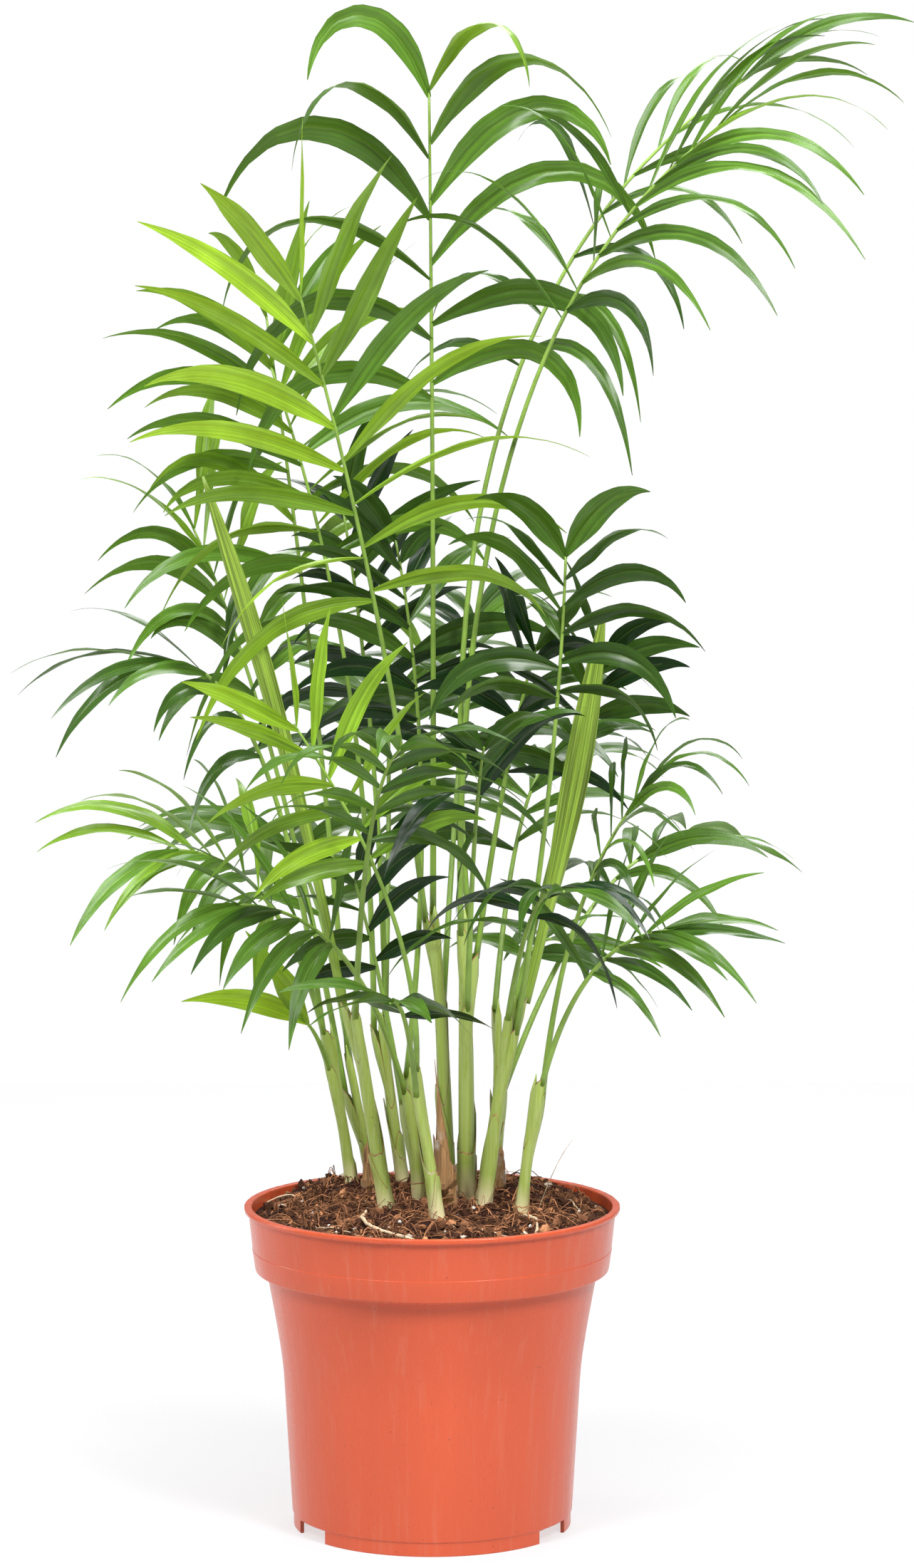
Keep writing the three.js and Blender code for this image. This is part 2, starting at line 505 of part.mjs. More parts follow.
for (const [name, spear] of Object.entries(SPEARS)) {
  const [foot, thick, point] = spear.radius;
  const curve = stalkOf(spear, foot);
  const radiusAt = (t) =>
    t < spear.thickest
      ? lerp(foot, thick, smoothstep(t, 0.15, spear.thickest))
      : lerp(thick, point, ((t - spear.thickest) / (1 - spear.thickest)) ** 2);
  claimStalk(name, curve, radiusAt);
  const bud = tube(curve, radiusAt, vec(0, 1, 0), SHOOT_SIDES, SPEAR_STEPS, SPEAR_FLAT);
  add(name, solidOf(bud), COLOURS.shoot, 0.4);
}

const petioleAt = (t) => lerp(PETIOLE.foot, PETIOLE.tip, t);
const stalks = Object.fromEntries(
  Object.entries(FRONDS).map(([name, frond]) => [name, stalkOf(frond, PETIOLE.foot)]));
Object.entries(stalks).forEach(([name, curve]) => claimStalk(name, curve, petioleAt));

Object.entries(FRONDS).forEach(([name, frond], index) => {
  const curve = stalks[name];
  const bend = curve.v0.clone().addScaledVector(curve.v1, -2).add(curve.v2).length();
  const steps = Math.ceil(Math.sqrt(bend / (4 * CHORD)));
  const stalk = tube(curve, petioleAt, vec(...frond.face), PETIOLE.sides, steps);
  const blades = leafletsOf(name, frond, curve, index + 1);
  const droop = Math.max(...frond.droop);
  const solid = blades.reduce((whole, samples) => whole.add(bladeSolid(samples, droop)), solidOf(stalk));
  const shade = BRIGHT_FRONDS.includes(name) ? "bright" : DARK_FRONDS.includes(name) ? "dark" : "leaf";
  add(name, largestOf(solid.simplify(FINE)), COLOURS[shade], 0.45);
});

export default palm;
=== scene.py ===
"""A parlour palm in a moulded plastic pot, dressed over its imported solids.

The tables are in millimetres in the frame of the solids: the origin is the middle of the pot's flat
underside, +Z is up and -Y is the front. Meshes are in metres.
"""

import math
from collections import defaultdict
from functools import cache, partial

import bmesh
import bpy
import numpy as np
from mathutils import Euler, Matrix, Vector, noise


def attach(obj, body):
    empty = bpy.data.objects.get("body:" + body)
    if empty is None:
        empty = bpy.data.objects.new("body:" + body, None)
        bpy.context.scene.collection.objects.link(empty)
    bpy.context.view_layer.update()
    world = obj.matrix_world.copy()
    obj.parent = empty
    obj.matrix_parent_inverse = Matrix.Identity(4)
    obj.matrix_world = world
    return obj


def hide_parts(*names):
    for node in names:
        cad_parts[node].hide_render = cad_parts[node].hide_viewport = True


bl_info = {
    "name": "Potted parlour palm",
    "version": (1, 0, 0),
    "blender": (4, 5, 0),
    "location": "View3D > Sidebar > Palm",
    "description": "Dresses the packed solids of a parlour palm and its pot",
    "category": "Add Mesh",
}

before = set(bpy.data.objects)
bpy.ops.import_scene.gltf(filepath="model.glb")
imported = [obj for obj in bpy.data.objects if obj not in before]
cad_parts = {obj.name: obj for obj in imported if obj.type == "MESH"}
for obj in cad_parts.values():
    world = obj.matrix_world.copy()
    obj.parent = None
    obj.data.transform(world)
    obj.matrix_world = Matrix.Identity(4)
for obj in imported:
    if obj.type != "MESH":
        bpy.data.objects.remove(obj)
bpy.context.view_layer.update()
MM = 0.001

# ---------------------------------------------------------------------------------------- tables

GAP = 0.3  # between parts that stand in one another

# Pot: a skirt with notches, a tapered body, a band under the lip. Radii and heights.
WALL = 1.5
SKIRT = {"radius": 55.5, "height": 5.8, "notch_angle": 21, "notches": (-30, 90, 210)}
FOOT = {"radius": 33, "slope": 3.5}
BODY = [(55.9, 5.8), (59.5, 65), (61.8, 80), (66, 103)]
BAND = {"low": 103, "low_radius": 70.75, "high_radius": 73.3, "seam": 0.38, "seam_depth": 0.12}
LIP = {"low": 127, "high": 129, "outer": 75, "inner": 71.8}
DRAIN = {"count": 6, "radius": 3.5, "circle": 45}

# Soil: heights at the wall and in the middle, the waves between them, how far it drops at the wall, and
# the mounds side by side at the back.
SOIL = {"edge": 126, "crown": 129.5, "lump": 1.4, "pitch": 5.3, "phase": 1.3, "slant": 9, "drop": 0.8}
MOUND = {"height": 5.2, "sides": (-40, 0, 40), "back": 46, "spread": 420}
STEM_FOOT = 118  # the height of the canes' lower ends, down in the soil

# Shoots: foot on the soil, top, sideways bow at half height, radius at the foot and at the top.
SHOOTS = {
    "shoot_left": ((-31, 37), (-41, 38, 196), (-1, 0), (2.7, 1.7)),
    "shoot_back_left": ((-22, 44), (-35, 46, 186), (0, 0), (2.6, 1.9)),
    "shoot_pale": ((-16, -12), (-31, -10, 212), (-1, 0), (3.5, 2.5)),
    "shoot_back": ((-10, 42), (-21, 42, 200), (-1, 0), (2.6, 1.9)),
    "shoot_middle_left": ((-4, 12), (-9, 13, 182), (-1, 0), (2.9, 2.0)),
    "shoot_front": ((4, -31), (-7, -31, 198), (-1, 0), (3.1, 1.9)),
    "shoot_tall": ((7, 21), (1, 21, 246), (1, 0), (3.4, 2.2)),
    "shoot_thick": ((14, 11), (13, 11, 246), (0, 0), (3.7, 2.5)),
    "shoot_right": ((19, -4), (33, -2, 213), (-1, 0), (3.1, 2.1)),
    "shoot_back_right": ((26, 42), (27, 44, 205), (0, 0), (2.5, 1.8)),
    "shoot_far_right": ((34, -17), (41, -17, 184), (0, 0), (2.9, 1.8)),
}
DRY_SHEATHS = {
    "dry_sheath": ((6, 2), (1, 1, 187), (1, 0), (4.6, 0.7)),
    "dry_stub_left": ((-26, 30), (-26, 30, 149), (0, 0), (2.6, 1.3)),
    "dry_stub_right": ((27, 31), (28, 31, 147), (0, 0), (2.3, 1.1)),
}

# Fronds, in the order in which they take their room. Each leaves its shoot at the height "at", on the side
# given in degrees from +X towards the back, and arches by its elbow to its tip. Pairs of leaflets sit from
# "bare" of the way to the tip. leaf: lengths of the first, middle and last leaflets. spread: their angle to
# the rib at the first and last pair. face: where their upper side looks. droop: how far the first and last
# bend down, in radians. tone: 0 for the darkest green to 6 for the brightest.
# The tones are partly the leaflets' own green and partly painted shade and light: the inner fronds deep in
# the crown take dark tones for the shade they lie in, and the fronds in the most light take bright tones.
FRONDS = {
    "frond_bright_left": dict(
        shoot="shoot_tall", at=240, side=205, elbow=(-18, -6, 372), tip=(-51, -30, 490),
        bare=0.52, pairs=8, leaf=(84, 104, 78), width=10.5, spread=(78, 16),
        face=(0.2, -0.95, 0.1), droop=(1.5, 0.3), tone=5.0),
    "frond_crown": dict(
        shoot="shoot_tall", at=243, side=100, elbow=(1, 23, 400), tip=(-1, 14, 571),
        bare=0.65, pairs=6, leaf=(98, 120, 76), width=12.5, spread=(54, 22),
        face=(0, -1, 0), droop=(3.0, 3.3), tone=2.6),
    "frond_bright_low": dict(
        shoot="shoot_front", at=188, side=265, elbow=(-3, -40, 250), tip=(-53, -50, 325),
        bare=0.64, pairs=6, leaf=(50, 66, 60), width=9, spread=(80, 26),
        face=(0.3, -0.9, 0.3), droop=(0.9, 0.4), tone=5.0),
    "frond_glossy_right": dict(
        shoot="shoot_right", at=198, side=-50, elbow=(50, -22, 310), tip=(52, -26, 390),
        bare=0.68, pairs=6, leaf=(54, 62, 48), width=11, spread=(68, 30),
        face=(0, -0.5, 0.8), droop=(2.2, 1.6), tone=1.6),
    "frond_arch_right": dict(
        shoot="shoot_thick", at=236, side=250, elbow=(6, -6, 478), tip=(111, -22, 553),
        bare=0.66, pairs=9, leaf=(86, 104, 80), width=10.5, spread=(54, 10),
        face=(-0.45, -0.65, 0.6), droop=(2.0, 1.3), tone=2.2),
    "frond_arch_back": dict(
        shoot="shoot_thick", at=242, side=70, elbow=(-8, 40, 489), tip=(126, 60, 576),
        bare=0.55, pairs=8, leaf=(76, 86, 70), width=9.5, spread=(76, 10),
        face=(-0.4, -0.6, 0.65), droop=(2.4, 1.2), tone=1.8),
    "frond_behind_left": dict(
        shoot="shoot_back", at=192, side=150, elbow=(-24, 42, 346), tip=(-65, 38, 463),
        bare=0.68, pairs=7, leaf=(76, 92, 74), width=9.5, spread=(70, 28),
        face=(0.2, -0.8, 0.5), droop=(1.6, 0.8), tone=3.6),
    "frond_far_left": dict(
        shoot="shoot_back_left", at=180, side=95, elbow=(-45, 58, 330), tip=(-67, 54, 484),
        bare=0.6, pairs=7, leaf=(84, 98, 66), width=9, spread=(70, 34),
        face=(0.5, -0.6, 0.6), droop=(1.8, 1.0), tone=3.4),
    "frond_left_middle": dict(
        shoot="shoot_back_left", at=166, side=172, elbow=(-62, 76, 316), tip=(-98, 76, 396),
        bare=0.64, pairs=7, leaf=(70, 84, 70), width=8.5, spread=(60, 24),
        face=(0.5, -0.5, 0.7), droop=(1.6, 1.2), tone=2.8),
    "frond_reach_left": dict(
        shoot="shoot_left", at=184, side=150, elbow=(-64, 40, 352), tip=(-110, 28, 343),
        bare=0.5, pairs=6, leaf=(62, 70, 64), width=8.5, spread=(70, 22),
        face=(0.4, -0.4, 0.8), droop=(1.4, 0.8), tone=1.2),
    "frond_low_left": dict(
        shoot="shoot_left", at=192, side=215, elbow=(-62, 24, 268), tip=(-102, 8, 270),
        bare=0.45, pairs=7, leaf=(62, 68, 62), width=8.5, spread=(70, 24),
        face=(0.3, -0.5, 0.8), droop=(1.6, 1.0), tone=3.2),
    "frond_drooping_left": dict(
        shoot="shoot_middle_left", at=172, side=235, elbow=(-30, -16, 252), tip=(-76, -40, 254),
        bare=0.56, pairs=6, leaf=(60, 70, 60), width=8.5, spread=(54, 14),
        face=(0.2, -0.7, 0.7), droop=(1.2, 0.8), tone=2.2),
    "leaf_pair_left": dict(
        shoot="shoot_left", at=178, side=230, elbow=(-46, 26, 194), tip=(-51, 24, 199),
        bare=1, pairs=1, leaf=(56, 56, 56), width=11, spread=(16, 16),
        face=(0, -1, 0.2), droop=(0.2, 0.2), tone=4.4),
    "frond_fine_right": dict(
        shoot="shoot_far_right", at=174, side=30, elbow=(52, -12, 262), tip=(86, -12, 298),
        bare=0.62, pairs=6, leaf=(48, 56, 50), width=6.5, spread=(60, 14),
        face=(-0.5, -0.3, 0.8), droop=(2.2, 2.0), tone=2.0),
    "frond_low_right": dict(
        shoot="shoot_far_right", at=180, side=-50, elbow=(58, -28, 240), tip=(92, -40, 244),
        bare=0.5, pairs=6, leaf=(56, 60, 50), width=9.5, spread=(62, 14),
        face=(-0.2, -0.7, 0.7), droop=(1.0, 0.4), tone=1.6),
    "frond_front_right": dict(
        shoot="shoot_right", at=204, side=-110, elbow=(38, -26, 264), tip=(50, -82, 264),
        bare=0.4, pairs=6, leaf=(58, 60, 46), width=9.5, spread=(74, 26),
        face=(0, 0.3, 0.95), droop=(1.8, 1.3), tone=0.8),
    "frond_front": dict(
        shoot="shoot_thick", at=206, side=-80, elbow=(16, -16, 288), tip=(20, -50, 316),
        bare=0.55, pairs=6, leaf=(56, 62, 42), width=9.5, spread=(74, 28),
        face=(0, -0.5, 0.85), droop=(1.8, 1.4), tone=0.6),
    "frond_low_middle": dict(
        shoot="shoot_front", at=178, side=250, elbow=(-10, -50, 222), tip=(-16, -72, 220),
        bare=0.6, pairs=3, leaf=(44, 46, 38), width=9, spread=(76, 34),
        face=(0, -0.2, 1), droop=(0.9, 0.6), tone=1.2),
    "frond_inner_left": dict(
        shoot="shoot_middle_left", at=166, side=150, elbow=(-20, 14, 220), tip=(-31, 6, 259),
        bare=0.6, pairs=4, leaf=(40, 46, 42), width=9.5, spread=(70, 30),
        face=(0.1, -0.9, 0.4), droop=(1.0, 0.6), tone=0.3),
    "frond_inner": dict(
        shoot="shoot_middle_left", at=178, side=110, elbow=(4, 34, 300), tip=(-15, 38, 394),
        bare=0.64, pairs=7, leaf=(56, 64, 48), width=10.5, spread=(64, 24),
        face=(0.2, -0.9, 0.3), droop=(1.2, 0.7), tone=0.5),
    "frond_right": dict(
        shoot="shoot_right", at=208, side=80, elbow=(56, 20, 300), tip=(69, 16, 348),
        bare=0.6, pairs=6, leaf=(46, 54, 44), width=11, spread=(72, 30),
        face=(-0.2, -0.7, 0.7), droop=(1.2, 0.7), tone=0.7),
    "frond_dark_right": dict(
        shoot="shoot_thick", at=226, side=20, elbow=(30, 26, 312), tip=(42, 26, 350),
        bare=0.5, pairs=6, leaf=(50, 58, 46), width=11.5, spread=(70, 30),
        face=(-0.1, -0.8, 0.6), droop=(1.3, 0.8), tone=0.3),
    "frond_dark_left": dict(
        shoot="shoot_back", at=198, side=60, elbow=(-22, 66, 320), tip=(-36, 66, 402),
        bare=0.6, pairs=6, leaf=(60, 66, 54), width=10, spread=(60, 22),
        face=(0, -0.8, 0.5), droop=(1.2, 0.7), tone=0.5),
    "frond_low_back_right": dict(
        shoot="shoot_back_right", at=190, side=30, elbow=(38, 66, 240), tip=(60, 100, 218),
        bare=0.45, pairs=5, leaf=(46, 52, 46), width=9, spread=(72, 26),
        face=(0, -0.3, 1), droop=(1.3, 0.8), tone=1.6),
    "frond_front_left": dict(
        shoot="shoot_pale", at=206, side=-90, elbow=(-26, -62, 304), tip=(-12, -106, 320),
        bare=0.5, pairs=6, leaf=(58, 64, 50), width=9.5, spread=(74, 26),
        face=(0, 0.2, 1), droop=(1.8, 1.2), tone=1.7),
    "frond_back": dict(
        shoot="shoot_back", at=186, side=90, elbow=(-16, 84, 316), tip=(-20, 132, 330),
        bare=0.45, pairs=6, leaf=(74, 84, 64), width=10, spread=(72, 26),
        face=(0, -0.5, 0.85), droop=(1.7, 1.1), tone=2.0),
    "frond_back_left": dict(
        shoot="shoot_back_left", at=156, side=100, elbow=(-48, 92, 276), tip=(-72, 140, 262),
        bare=0.45, pairs=6, leaf=(66, 74, 58), width=10, spread=(72, 26),
        face=(0.3, -0.5, 0.85), droop=(1.6, 1.0), tone=2.0),
    "frond_back_middle": dict(
        shoot="shoot_tall", at=206, side=75, elbow=(12, 66, 330), tip=(18, 122, 356),
        bare=0.5, pairs=6, leaf=(70, 80, 60), width=10, spread=(70, 26),
        face=(0, -0.5, 0.85), droop=(1.7, 1.1), tone=1.6),
    "frond_back_right": dict(
        shoot="shoot_back_right", at=200, side=110, elbow=(34, 92, 290), tip=(52, 140, 296),
        bare=0.45, pairs=6, leaf=(66, 74, 58), width=10, spread=(72, 26),
        face=(-0.2, -0.5, 0.85), droop=(1.7, 1.1), tone=1.6),
    "frond_far_back_right": dict(
        shoot="shoot_back_right", at=168, side=45, elbow=(66, 84, 262), tip=(104, 102, 262),
        bare=0.5, pairs=5, leaf=(56, 62, 50), width=9, spread=(72, 26),
        face=(-0.4, -0.3, 0.85), droop=(1.5, 1.0), tone=2.2),
}
# The fronds whose slot isn't leaf_green.
BRIGHT_FRONDS = ("frond_bright_left", "frond_bright_low", "frond_arch_right", "leaf_pair_left")
DARK_FRONDS = ("frond_glossy_right", "frond_reach_left", "frond_front_right", "frond_front",
               "frond_low_right", "frond_inner_left", "frond_inner", "frond_right", "frond_dark_right",
               "frond_dark_left")
PETIOLE = {"foot": 1.8, "tip": 0.9}  # radii
LIFT = 12  # degrees that leaflets stand up from the plane of their frond
STAGGER = 0.12  # of the space between pairs, by which left and right leaflets are set apart
TURN = 0.75  # how far a blade turns its face to the sky towards its end
# How far each leaflet may stray from its rule: in degrees, and by share.
JITTER = {"swing": 5, "lift": 8, "length": 0.08, "droop": 0.2}
BLADE_STEPS = 24
# A blade: width of its foot by share, where it is widest and where its face has turned by share of its
# length, how round its taper is, and how its bend grows from foot to tip.
BLADE = {"foot": 0.07, "widest": 0.38, "turned": 0.6, "taper": 0.9, "sag": (0.35, 1.3)}
ROOT = 1.5  # how far a blade starts back inside its stalk
LOUVRE = 26  # degrees by which blades overlap like slats

# Spears: young leaves that are still shut. radius: at the foot, at the thickest and at the point.
SPEARS = {
    "spear_left": dict(
        shoot="shoot_pale", at=210, side=165, elbow=(-54, -14, 317), tip=(-89, -18, 419),
        radius=(1.8, 3.7, 0.5), thickest=0.7),
    "spear_right": dict(
        shoot="shoot_right", at=210, side=15, elbow=(56, 2, 284), tip=(68, 6, 366),
        radius=(2.1, 5.2, 0.6), thickest=0.6),
}
SPEAR_FLAT = 0.55  # thickness, as a share of the breadth
SPEAR_SWELLS = 0.15  # share of the length from which a spear grows thicker

# Room: a leaflet that would come as near as CLEAR to anything of another frond, or below LOWEST, is swung,
# shortened or left out. Only points in the same or neighbouring cells of the size CELL are compared.
CLEAR = 3
CELL = 8
LOWEST = 134
ROOM_ROWS = 150000  # more than the plant has points
# What a leaflet tries in turn: more swing and more lift in degrees, and the share of its length.
TRIES = [(0, 0, 1), (10, 0, 1), (-10, 0, 1), (0, 18, 1), (0, -18, 1), (14, 18, 1), (-14, -18, 1),
         (0, 0, 0.8), (16, 24, 0.8), (-16, -24, 0.8), (0, 36, 0.8), (0, -36, 0.8), (0, 0, 0.6),
         (20, 30, 0.6), (-20, -30, 0.6), (0, 0, 0.45)]

# The camera: its place in metres, pitch in degrees, turn in radians, and its lens and sensor.
CAMERA = {"place": (0, -1.837, 0.474), "pitch": 5.5, "turn": 0.0054, "lens": 107.25, "sensor": 36}

# ------------------------------------------------------------------------------------- small tools

UP = np.array((0.0, 0.0, 1.0))


def lerp(low, high, share):
    return (1 - share) * low + share * high


def smoothstep(value, low, high):
    share = np.clip((value - low) / (high - low), 0, 1)
    return share * share * (3 - 2 * share)


def unit(vector):
    return vector / np.linalg.norm(vector)


def seeded(state):
    """Random draws between 0 and 1 that follow from a whole number."""
    factor, step, size = 1664525, 1013904223, 2 ** 32

    def draw():
        nonlocal state
        state = (state * factor + step) % size
        return state / size

    return draw


def turned(vector, axis, angle):
    """A vector turned about a unit axis."""
    return (vector * math.cos(angle) + np.cross(axis, vector) * math.sin(angle)
            + axis * np.dot(axis, vector) * (1 - math.cos(angle)))


class Curve:
    """A quadratic curve through space."""

    def __init__(self, start, middle, end):
        self.start, self.middle, self.end = (np.array(point, float) for point in (start, middle, end))

    def point(self, t):
        return self.start * (1 - t) ** 2 + self.middle * 2 * (1 - t) * t + self.end * t * t

    def heading(self, t):
        return unit((self.middle - self.start) * (1 - t) + (self.end - self.middle) * t)

    def length(self):
        return np.linalg.norm(self.middle - self.start) + np.linalg.norm(self.end - self.middle)


def bumpy(x, y, z, size, seed=0):
    """Smooth noise between -1 and 1 with lumps of the given size. Each seed reads it at another place."""
    return noise.noise(Vector((x / size + 17 * seed, y / size, z / size)))


# --------------------------------------------------------------------------------- how the palm grows


class Shoot:
    """A cane: its middle line from its foot in the soil to its top, and its thickness."""

    def __init__(self, foot, top, bow, radius):
        low, high = np.array((*foot, STEM_FOOT), float), np.array(top, float)
        self.curve = Curve(low, lerp(low, high, 0.5) + np.array((*bow, 0)), high)
        self.radius, self.top = radius, top[2]

    def share(self, height):
        return (height - STEM_FOOT) / (self.top - STEM_FOOT)

    def radius_at(self, t):
        return lerp(*self.radius, t)


def stalk_of(shoots, row, thickness):
    """The curve of a frond or a spear, which starts beside its shoot."""
    shoot = shoots[row["shoot"]]
    t = shoot.share(row["at"])
    reach = shoot.radius_at(t) + GAP + thickness
    turn = math.radians(row["side"])
    start = shoot.curve.point(t) + reach * np.array((math.cos(turn), math.sin(turn), 0))
    return Curve(start, row["elbow"], row["tip"])


def petiole_at(t):
    return lerp(PETIOLE["foot"], PETIOLE["tip"], t)


def spear_radius(row, t):
    foot, thick, point = row["radius"]
    if t < row["thickest"]:
        return lerp(foot, thick, smoothstep(t, SPEAR_SWELLS, row["thickest"]))
    return lerp(thick, point, ((t - row["thickest"]) / (1 - row["thickest"])) ** 2)


class Room:
    """The points that stalks and leaflets have taken: rows of the owner's number, place and radius."""

    def __init__(self):
        self.rows = np.empty((ROOM_ROWS, 5))
        self.count = 0
        self.owners = {}

    def claim(self, owner, points, radii):
        block = self.rows[self.count:self.count + len(points)]
        block[:, 0] = self.owners.setdefault(owner, len(self.owners))
        block[:, 1:4] = points
        block[:, 4] = radii
        self.count += len(points)

    def claim_stalk(self, owner, curve, radius_at):
        steps = math.ceil(curve.length()) / 2
        shares = np.arange(math.floor(steps) + 1) / steps
        self.claim(owner, [curve.point(t) for t in shares], [radius_at(t) for t in shares])

    def is_taken(self, owner, points):
        rows = self.rows[:self.count]
        low, high = points.min(0) - 2 * CELL, points.max(0) + 2 * CELL
        rows = rows[(rows[:, 0] != self.owners[owner]) & (rows[:, 1] > low[0]) & (rows[:, 1] < high[0])]
        rows = rows[((rows[:, 2:4] > low[1:]) & (rows[:, 2:4] < high[1:])).all(1)]
        apart = np.linalg.norm(points[:, None] - rows[None, :, 1:4], axis=2)
        cells = np.floor(points / CELL)[:, None] - np.floor(rows[:, 1:4] / CELL)[None]
        return bool(((apart < CLEAR + rows[:, 4]) & (abs(cells) <= 1).all(2)).any())


def blade_samples(start, ahead, face, length, width, droop):
    """A leaflet's middle line, which bends down under its weight while its face turns to the sky.
    Each row has a point, the way across, the way up from the leaf, and half the width."""
    rows, point = [], start.copy()
    for step in range(BLADE_STEPS + 1):
        u = step / BLADE_STEPS
        sky = UP - ahead * np.dot(UP, ahead)
        face = unit(face - ahead * np.dot(face, ahead))
        turn = TURN * smoothstep(u, 0, BLADE["turned"]) * min(1, max(0, 1 + 2 * np.dot(face, sky)))
        upper = unit(face * (1 - turn) + sky * turn)
        rise = math.sin(math.pi / 2 * min(1, u / BLADE["widest"]))
        fall = math.cos(math.pi / 2 * max(0, (u - BLADE["widest"]) / (1 - BLADE["widest"])))
        half = width / 2 * lerp(BLADE["foot"], 1, rise) * fall ** BLADE["taper"]
        rows.append((*point, *np.cross(ahead, upper), *upper, half))
        point = point + ahead * length / BLADE_STEPS
        sag = droop * (BLADE["sag"][0] + BLADE["sag"][1] * u)
        ahead = unit(ahead + sky * -sag / BLADE_STEPS)
    return np.array(rows)


def edge_points(rows):
    """Points across a leaflet, from edge to edge at each row."""
    shares = np.array((-1, -0.5, 0, 0.5, 1))
    out = shares[None, :, None] * rows[:, 9, None, None]
    return (rows[:, None, :3] + rows[:, None, 3:6] * out).reshape(-1, 3)


def leaflets_of(name, frond, curve, seed, room):
    """Every leaflet that finds room on a frond: the rows of its middle line, its age from 0 to 1."""
    draw = seeded(seed)

    def jitter(size):
        return size * (2 * draw() - 1)

    found = []
    for pair in range(frond["pairs"]):
        age = pair / (frond["pairs"] - 1) if frond["pairs"] > 1 else 1
        step = (1 - frond["bare"]) / max(1, frond["pairs"] - 1)
        for hand in (1, -1):
            t = min(1, frond["bare"] + step * (pair + STAGGER * hand))
            ahead = curve.heading(t)
            across = unit(np.cross(ahead, frond["face"]))
            normal = np.cross(across, ahead)
            swing = lerp(*frond["spread"], age) + jitter(JITTER["swing"])
            lift = LIFT + jitter(JITTER["lift"])
            first, middle, last = frond["leaf"]
            whole = lerp(first, middle, 2 * age) if age < 0.5 else lerp(middle, last, 2 * age - 1)
            length = whole * (1 + jitter(JITTER["length"]))
            droop = lerp(*frond["droop"], age) * (1 + jitter(JITTER["droop"]))
            for more_swing, more_lift, share in TRIES:
                out, up = math.radians(swing + more_swing), math.radians(lift + more_lift)
                flat = ahead * math.cos(out) + across * hand * math.sin(out)
                toward = flat * math.cos(up) + normal * math.sin(up)
                upper = turned(normal, toward, hand * math.radians(LOUVRE))
                rows = blade_samples(curve.point(t) - ahead * ROOT, toward, upper, length * share,
                                     frond["width"] * math.sqrt(share), droop)
                points = edge_points(rows)
                if points[:, 2].min() < LOWEST or room.is_taken(name, points):
                    continue
                room.claim(name, points, 0)
                found.append((rows, age))
                break
    return found


class Growth:
    """The whole plant: shoots, stalks of spears and fronds, and leaflets."""

    def __init__(self):
        self.shoots = {name: Shoot(*row) for name, row in {**SHOOTS, **DRY_SHEATHS}.items()}
        room = Room()
        for name, shoot in self.shoots.items():
            room.claim_stalk(name, shoot.curve, shoot.radius_at)
        self.spears = {name: stalk_of(self.shoots, row, row["radius"][0]) for name, row in SPEARS.items()}
        for name, curve in self.spears.items():
            room.claim_stalk(name, curve, partial(spear_radius, SPEARS[name]))
        self.stalks = {name: stalk_of(self.shoots, row, PETIOLE["foot"]) for name, row in FRONDS.items()}
        for name, curve in self.stalks.items():
            room.claim_stalk(name, curve, petiole_at)
        self.leaflets = {name: leaflets_of(name, row, self.stalks[name], number + 1, room)
                         for number, (name, row) in enumerate(FRONDS.items())}


@cache
def growth():
    """The plant's growth, worked out once for all the operators."""
    return Growth()


# ------------------------------------------------------------------------------------ making meshes

SURFACE = "surface"  # the UV map of the leaves, on which their veins run


def finish_piece(name, mesh, nodes):
    """Puts a finished mesh into the scene as a piece that stands for CAD nodes."""
    piece = bpy.data.objects.new(name, mesh)
    bpy.context.scene.collection.objects.link(piece)
    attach(piece, "root")
    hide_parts(*nodes)


def piece_from(bm, name, materials, nodes):
    """A smooth piece from a bmesh in millimetres."""
    bmesh.ops.scale(bm, vec=(MM, MM, MM), verts=bm.verts)
    mesh = bpy.data.meshes.new(name)
    bm.to_mesh(mesh)
    bm.free()
    for material in materials:
        mesh.materials.append(material)
    mesh.polygons.foreach_set("use_smooth", [True] * len(mesh.polygons))
    finish_piece(name, mesh, nodes)


class Batch:
    """Many small shapes gathered into one mesh from arrays, in millimetres."""

    def __init__(self):
        self.points = []
        self.faces = []
        self.marks = []
        self.places = []
        self.count = 0

    def add(self, points, faces, mark, places=None):
        """points: n by 3. faces: m by 3 or 4 into the points. mark: a material's number, or one a face.
        places: the points' places on the surface, for a pattern that follows it."""
        self.points.append(points)
        self.faces += (np.asarray(faces) + self.count).tolist()
        self.marks += [mark] * len(faces) if np.isscalar(mark) else list(mark)
        if places is not None:
            self.places.append(places)
        self.count += len(points)

    def piece(self, name, materials, slot, nodes, smooth=True):
        """Makes the piece, with only those of the materials that its faces use."""
        used = sorted(set(self.marks))
        mesh = bpy.data.meshes.new(name)
        mesh.from_pydata((np.concatenate(self.points) * MM).tolist(), [], self.faces)
        for mark in used:
            mesh.materials.append(materials[mark])
        mesh.polygons.foreach_set("material_index", [used.index(mark) for mark in self.marks])
        mesh.polygons.foreach_set("use_smooth", [smooth] * len(mesh.polygons))
        if self.places:
            corners = np.empty(len(mesh.loops), dtype=np.int32)
            mesh.loops.foreach_get("vertex_index", corners)
            layer = mesh.uv_layers.new(name=SURFACE)
            layer.data.foreach_set("uv", np.concatenate(self.places)[corners].ravel())
        mesh.validate()
        mesh.update()
        finish_piece(name, mesh, nodes)


def sheet_faces(rows, columns):
    """The quads of a sheet of points, row after row."""
    low = (np.arange(rows - 1)[:, None] * columns + np.arange(columns - 1)[None]).ravel()
    return np.stack((low, low + 1, low + columns + 1, low + columns), 1)


def frame_at(point, ahead, reference, radius, flat):
    """The matrix that puts a unit circle across a path."""
    across = unit(np.cross(ahead, reference))
    upward = np.cross(ahead, across)
    columns = (across * radius, upward * radius * flat, ahead * radius)
    return Matrix([[*row, place] for row, place in zip(np.array(columns).T, point)] + [[0, 0, 0, 1]])


